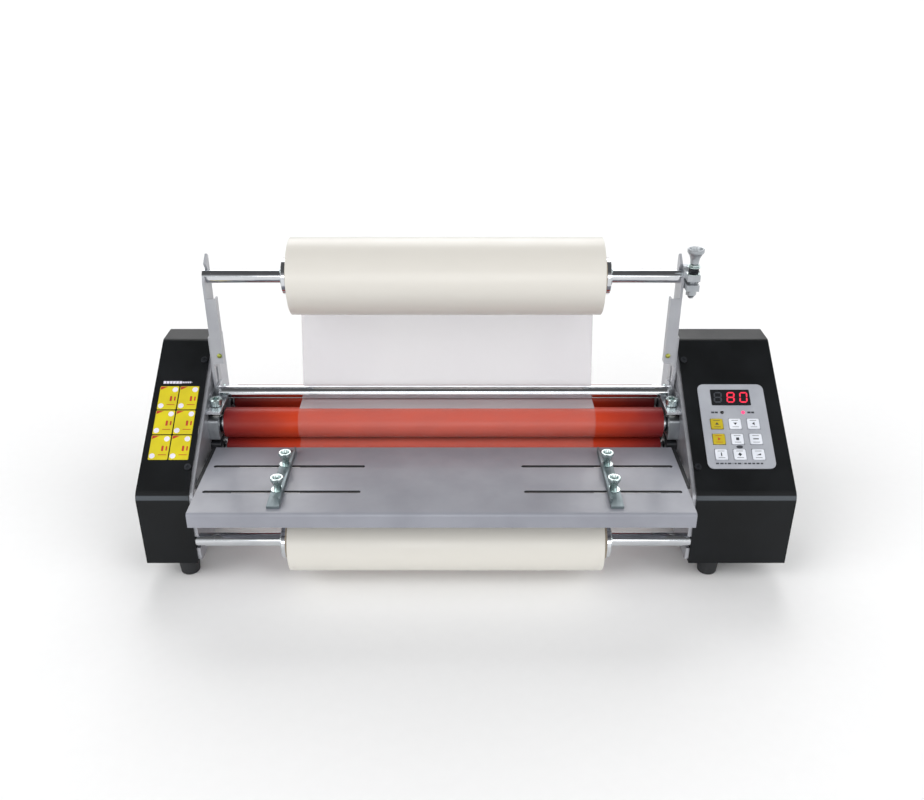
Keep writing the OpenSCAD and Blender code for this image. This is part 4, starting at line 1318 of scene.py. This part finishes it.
@dataclass
class PowerInlet:
    """The mains inlet and the rocker switch on the back of the right case."""

    def build(self) -> None:
        """Dresses the body and the rocker, and adds pins, marks, screws and the blank rating plate."""
        dress(Finishes.INLET, 0.4, "power_inlet")
        dress(Finishes.ROCKER, 0.4, "power_rocker")
        low, high = size_of("power_inlet")
        x, back, foot = (low.x + high.x) / 2, high.y, low.z
        pins = Blank("inlet_pins", Finishes.SHAFT, 0.25)
        for dx, dz in ((-7, -2), (7, -2), (0, 2)):
            place = along(Axis.Y, (x + dx, back - 19, foot + 14 + dz - 0.25))
            pins.extrude(rounded_rect(4.7, 2.2, 0.3), 15.2, place)
        pins.put("chassis", "inlet_black")
        screws = Blank("inlet_screws", Finishes.BLACK_SCREW)
        head = [(0.0, 0.0), (0.0, 2.3), (0.5, 2.1), (0.9, 1.2), (0.6, 0.0)]
        for dx in (-13.6, 13.6):
            screws.lathe(head, along(Axis.Y, (x + dx, back, foot + 28.0)), 28)
        screws.put("chassis", "inlet_black")
        self.rocker_marks()
        self.rating_plate()

    def rocker_marks(self) -> None:
        """Moulds a bar and a ring on the rocker's two faces."""
        (x, _, z), out = middle_of("power_rocker"), size_of("power_rocker")[1].y
        marks = Blank("rocker_marks", Finishes.LABEL_WHITE)
        lower_face, upper_face = (
            Matrix.Translation((x, out - sunk, z + rise)) @ Matrix.Rotation(math.radians(-90 - lean), 4, "X")
            for sunk, rise, lean in ((2.9, -6.0, 26.2), (4.42, 5.6, 5.5)))
        marks.extrude(rounded_rect(0.9, 4.0, 0.3), 0.25, lower_face)
        marks.frame_plate(regular(24, 1.9), regular(24, 1.3), 0.5, upper_face)
        marks.put("power_rocker_body", "rocker_red")

    def rating_plate(self) -> None:
        """Sticks a blank foil plate on the back of the left case, held by four small rivets."""
        plate = Blank("rating_plate", Finishes.FOIL, 0.1)
        x, back, z = middle_of("left_cover").x, size_of("left_cover")[1].y, 120.0
        plate.extrude(rounded_rect(34, 26, 1.5), 0.35, along(Axis.Y, (x, back, z)))
        rivets = [(0.3, 0.0), (0.3, 1.1), (0.8, 0.8), (0.95, 0.0)]
        for dx in (-11, 11):
            for dz in (-14.5, 14.5):
                plate.lathe(rivets, along(Axis.Y, (x + dx, back, z + dz)), 20)
        plate.put("chassis", "screw_black")


@dataclass
class Studio:
    """The camera, the soft lamps and the pale floor."""

    camera_at: Triple = (-0.00305, -0.6602, 0.4752)
    camera_tilt: float = 62.8
    lens: float = 36.34
    sensor: float = 36.0
    floor_half: float = 40.0
    wall_light: float = 0.95
    ceiling_light: float = 0.12

    def build(self) -> None:
        """Sets the camera, the lamps, the world and the floor."""
        self.camera()
        self.floor()
        for lamp in (("left_softbox", 38.0, -60.0, 1.4, 45.0), ("right_softbox", 38.0, 60.0, 1.2, 45.0),
                     ("back_softbox", 40.0, 180.0, 1.5, 45.0), ("front_softbox", 16.0, 0.0, 0.45, 25.0)):
            self.sky_lamp(*lamp)
        self.world()
        bpy.context.scene.view_settings.view_transform = "Standard"

    def camera(self) -> None:
        """Places the camera a little above and in front of the machine."""
        data = bpy.data.cameras.new("camera")
        data.lens, data.sensor_width = self.lens, self.sensor
        data.clip_start, data.clip_end = 0.01, 50.0
        eye = bpy.data.objects.new("camera", data)
        eye.location = self.camera_at
        eye.rotation_euler = (math.radians(self.camera_tilt), 0, 0)
        bpy.context.scene.collection.objects.link(eye)
        bpy.context.scene.camera = eye

    def sky_lamp(self, name: str, height: float, side: float, power: float, width: float) -> None:
        """Hangs a far, broad lamp that lights the floor and the machine alike.

        Args:
            name: The lamp's name.
            height: Its angle above the horizon, in degrees.
            side: Its angle from straight in front, to the right, in degrees.
            power: The light that it throws on a facing surface.
            width: How broad it looks, in degrees; a broad lamp gives soft shadows.
        """
        data = bpy.data.lights.new(name, "SUN")
        data.energy, data.angle = power, math.radians(width)
        lamp = bpy.data.objects.new(name, data)
        lamp.rotation_euler = (math.radians(90 - height), 0, math.radians(side))
        bpy.context.scene.collection.objects.link(lamp)

    def world(self) -> None:
        """Surrounds the scene with a white room whose walls are bright and whose ceiling is dark."""
        world = bpy.data.worlds.new("white_room")
        world.use_nodes = True
        tree = world.node_tree
        background = tree.nodes["Background"]
        background.inputs["Color"].default_value = linear("FAFBFC")
        place = add_node(tree, "ShaderNodeTexCoord").outputs["Generated"]
        split = add_node(tree, "ShaderNodeSeparateXYZ", {}, {0: place})
        height = add_node(tree, "ShaderNodeMapRange",
                          {"interpolation_type": "SMOOTHSTEP", "From Min": 0.1, "From Max": 0.75,
                           "To Min": self.wall_light, "To Max": self.ceiling_light}, {0: split.outputs[2]})
        tree.links.new(height.outputs[0], background.inputs["Strength"])
        bpy.context.scene.world = world

    def floor(self) -> None:
        """Lays a pale floor that runs out of sight."""
        data = bpy.data.meshes.new("floor")
        half = self.floor_half
        corners = [(-half, -half, 0), (half, -half, 0), (half, half, 0), (-half, half, 0)]
        data.from_pydata(corners, [], [(0, 1, 2, 3)])
        data.materials.append(Finish("floor_paper", "F7F7F7", "F6F6F6", 0.95, gloss=0.0).material())
        ground = bpy.data.objects.new("floor", data)
        bpy.context.scene.collection.objects.link(ground)


def main() -> None:
    """Builds the studio and the machine, piece by piece."""
    logging.basicConfig(level=logging.INFO, format="%(name)s: %(message)s")
    Studio().build()
    for assembly in (Cases, ControlPanel, Rollers, FilmRolls, FilmWebs, FeedTable, FilmArms, Drive,
                     PowerInlet):
        LOG.info("-- %s", assembly.__name__)
        assembly().build()


if __name__ == "__main__":
    main()
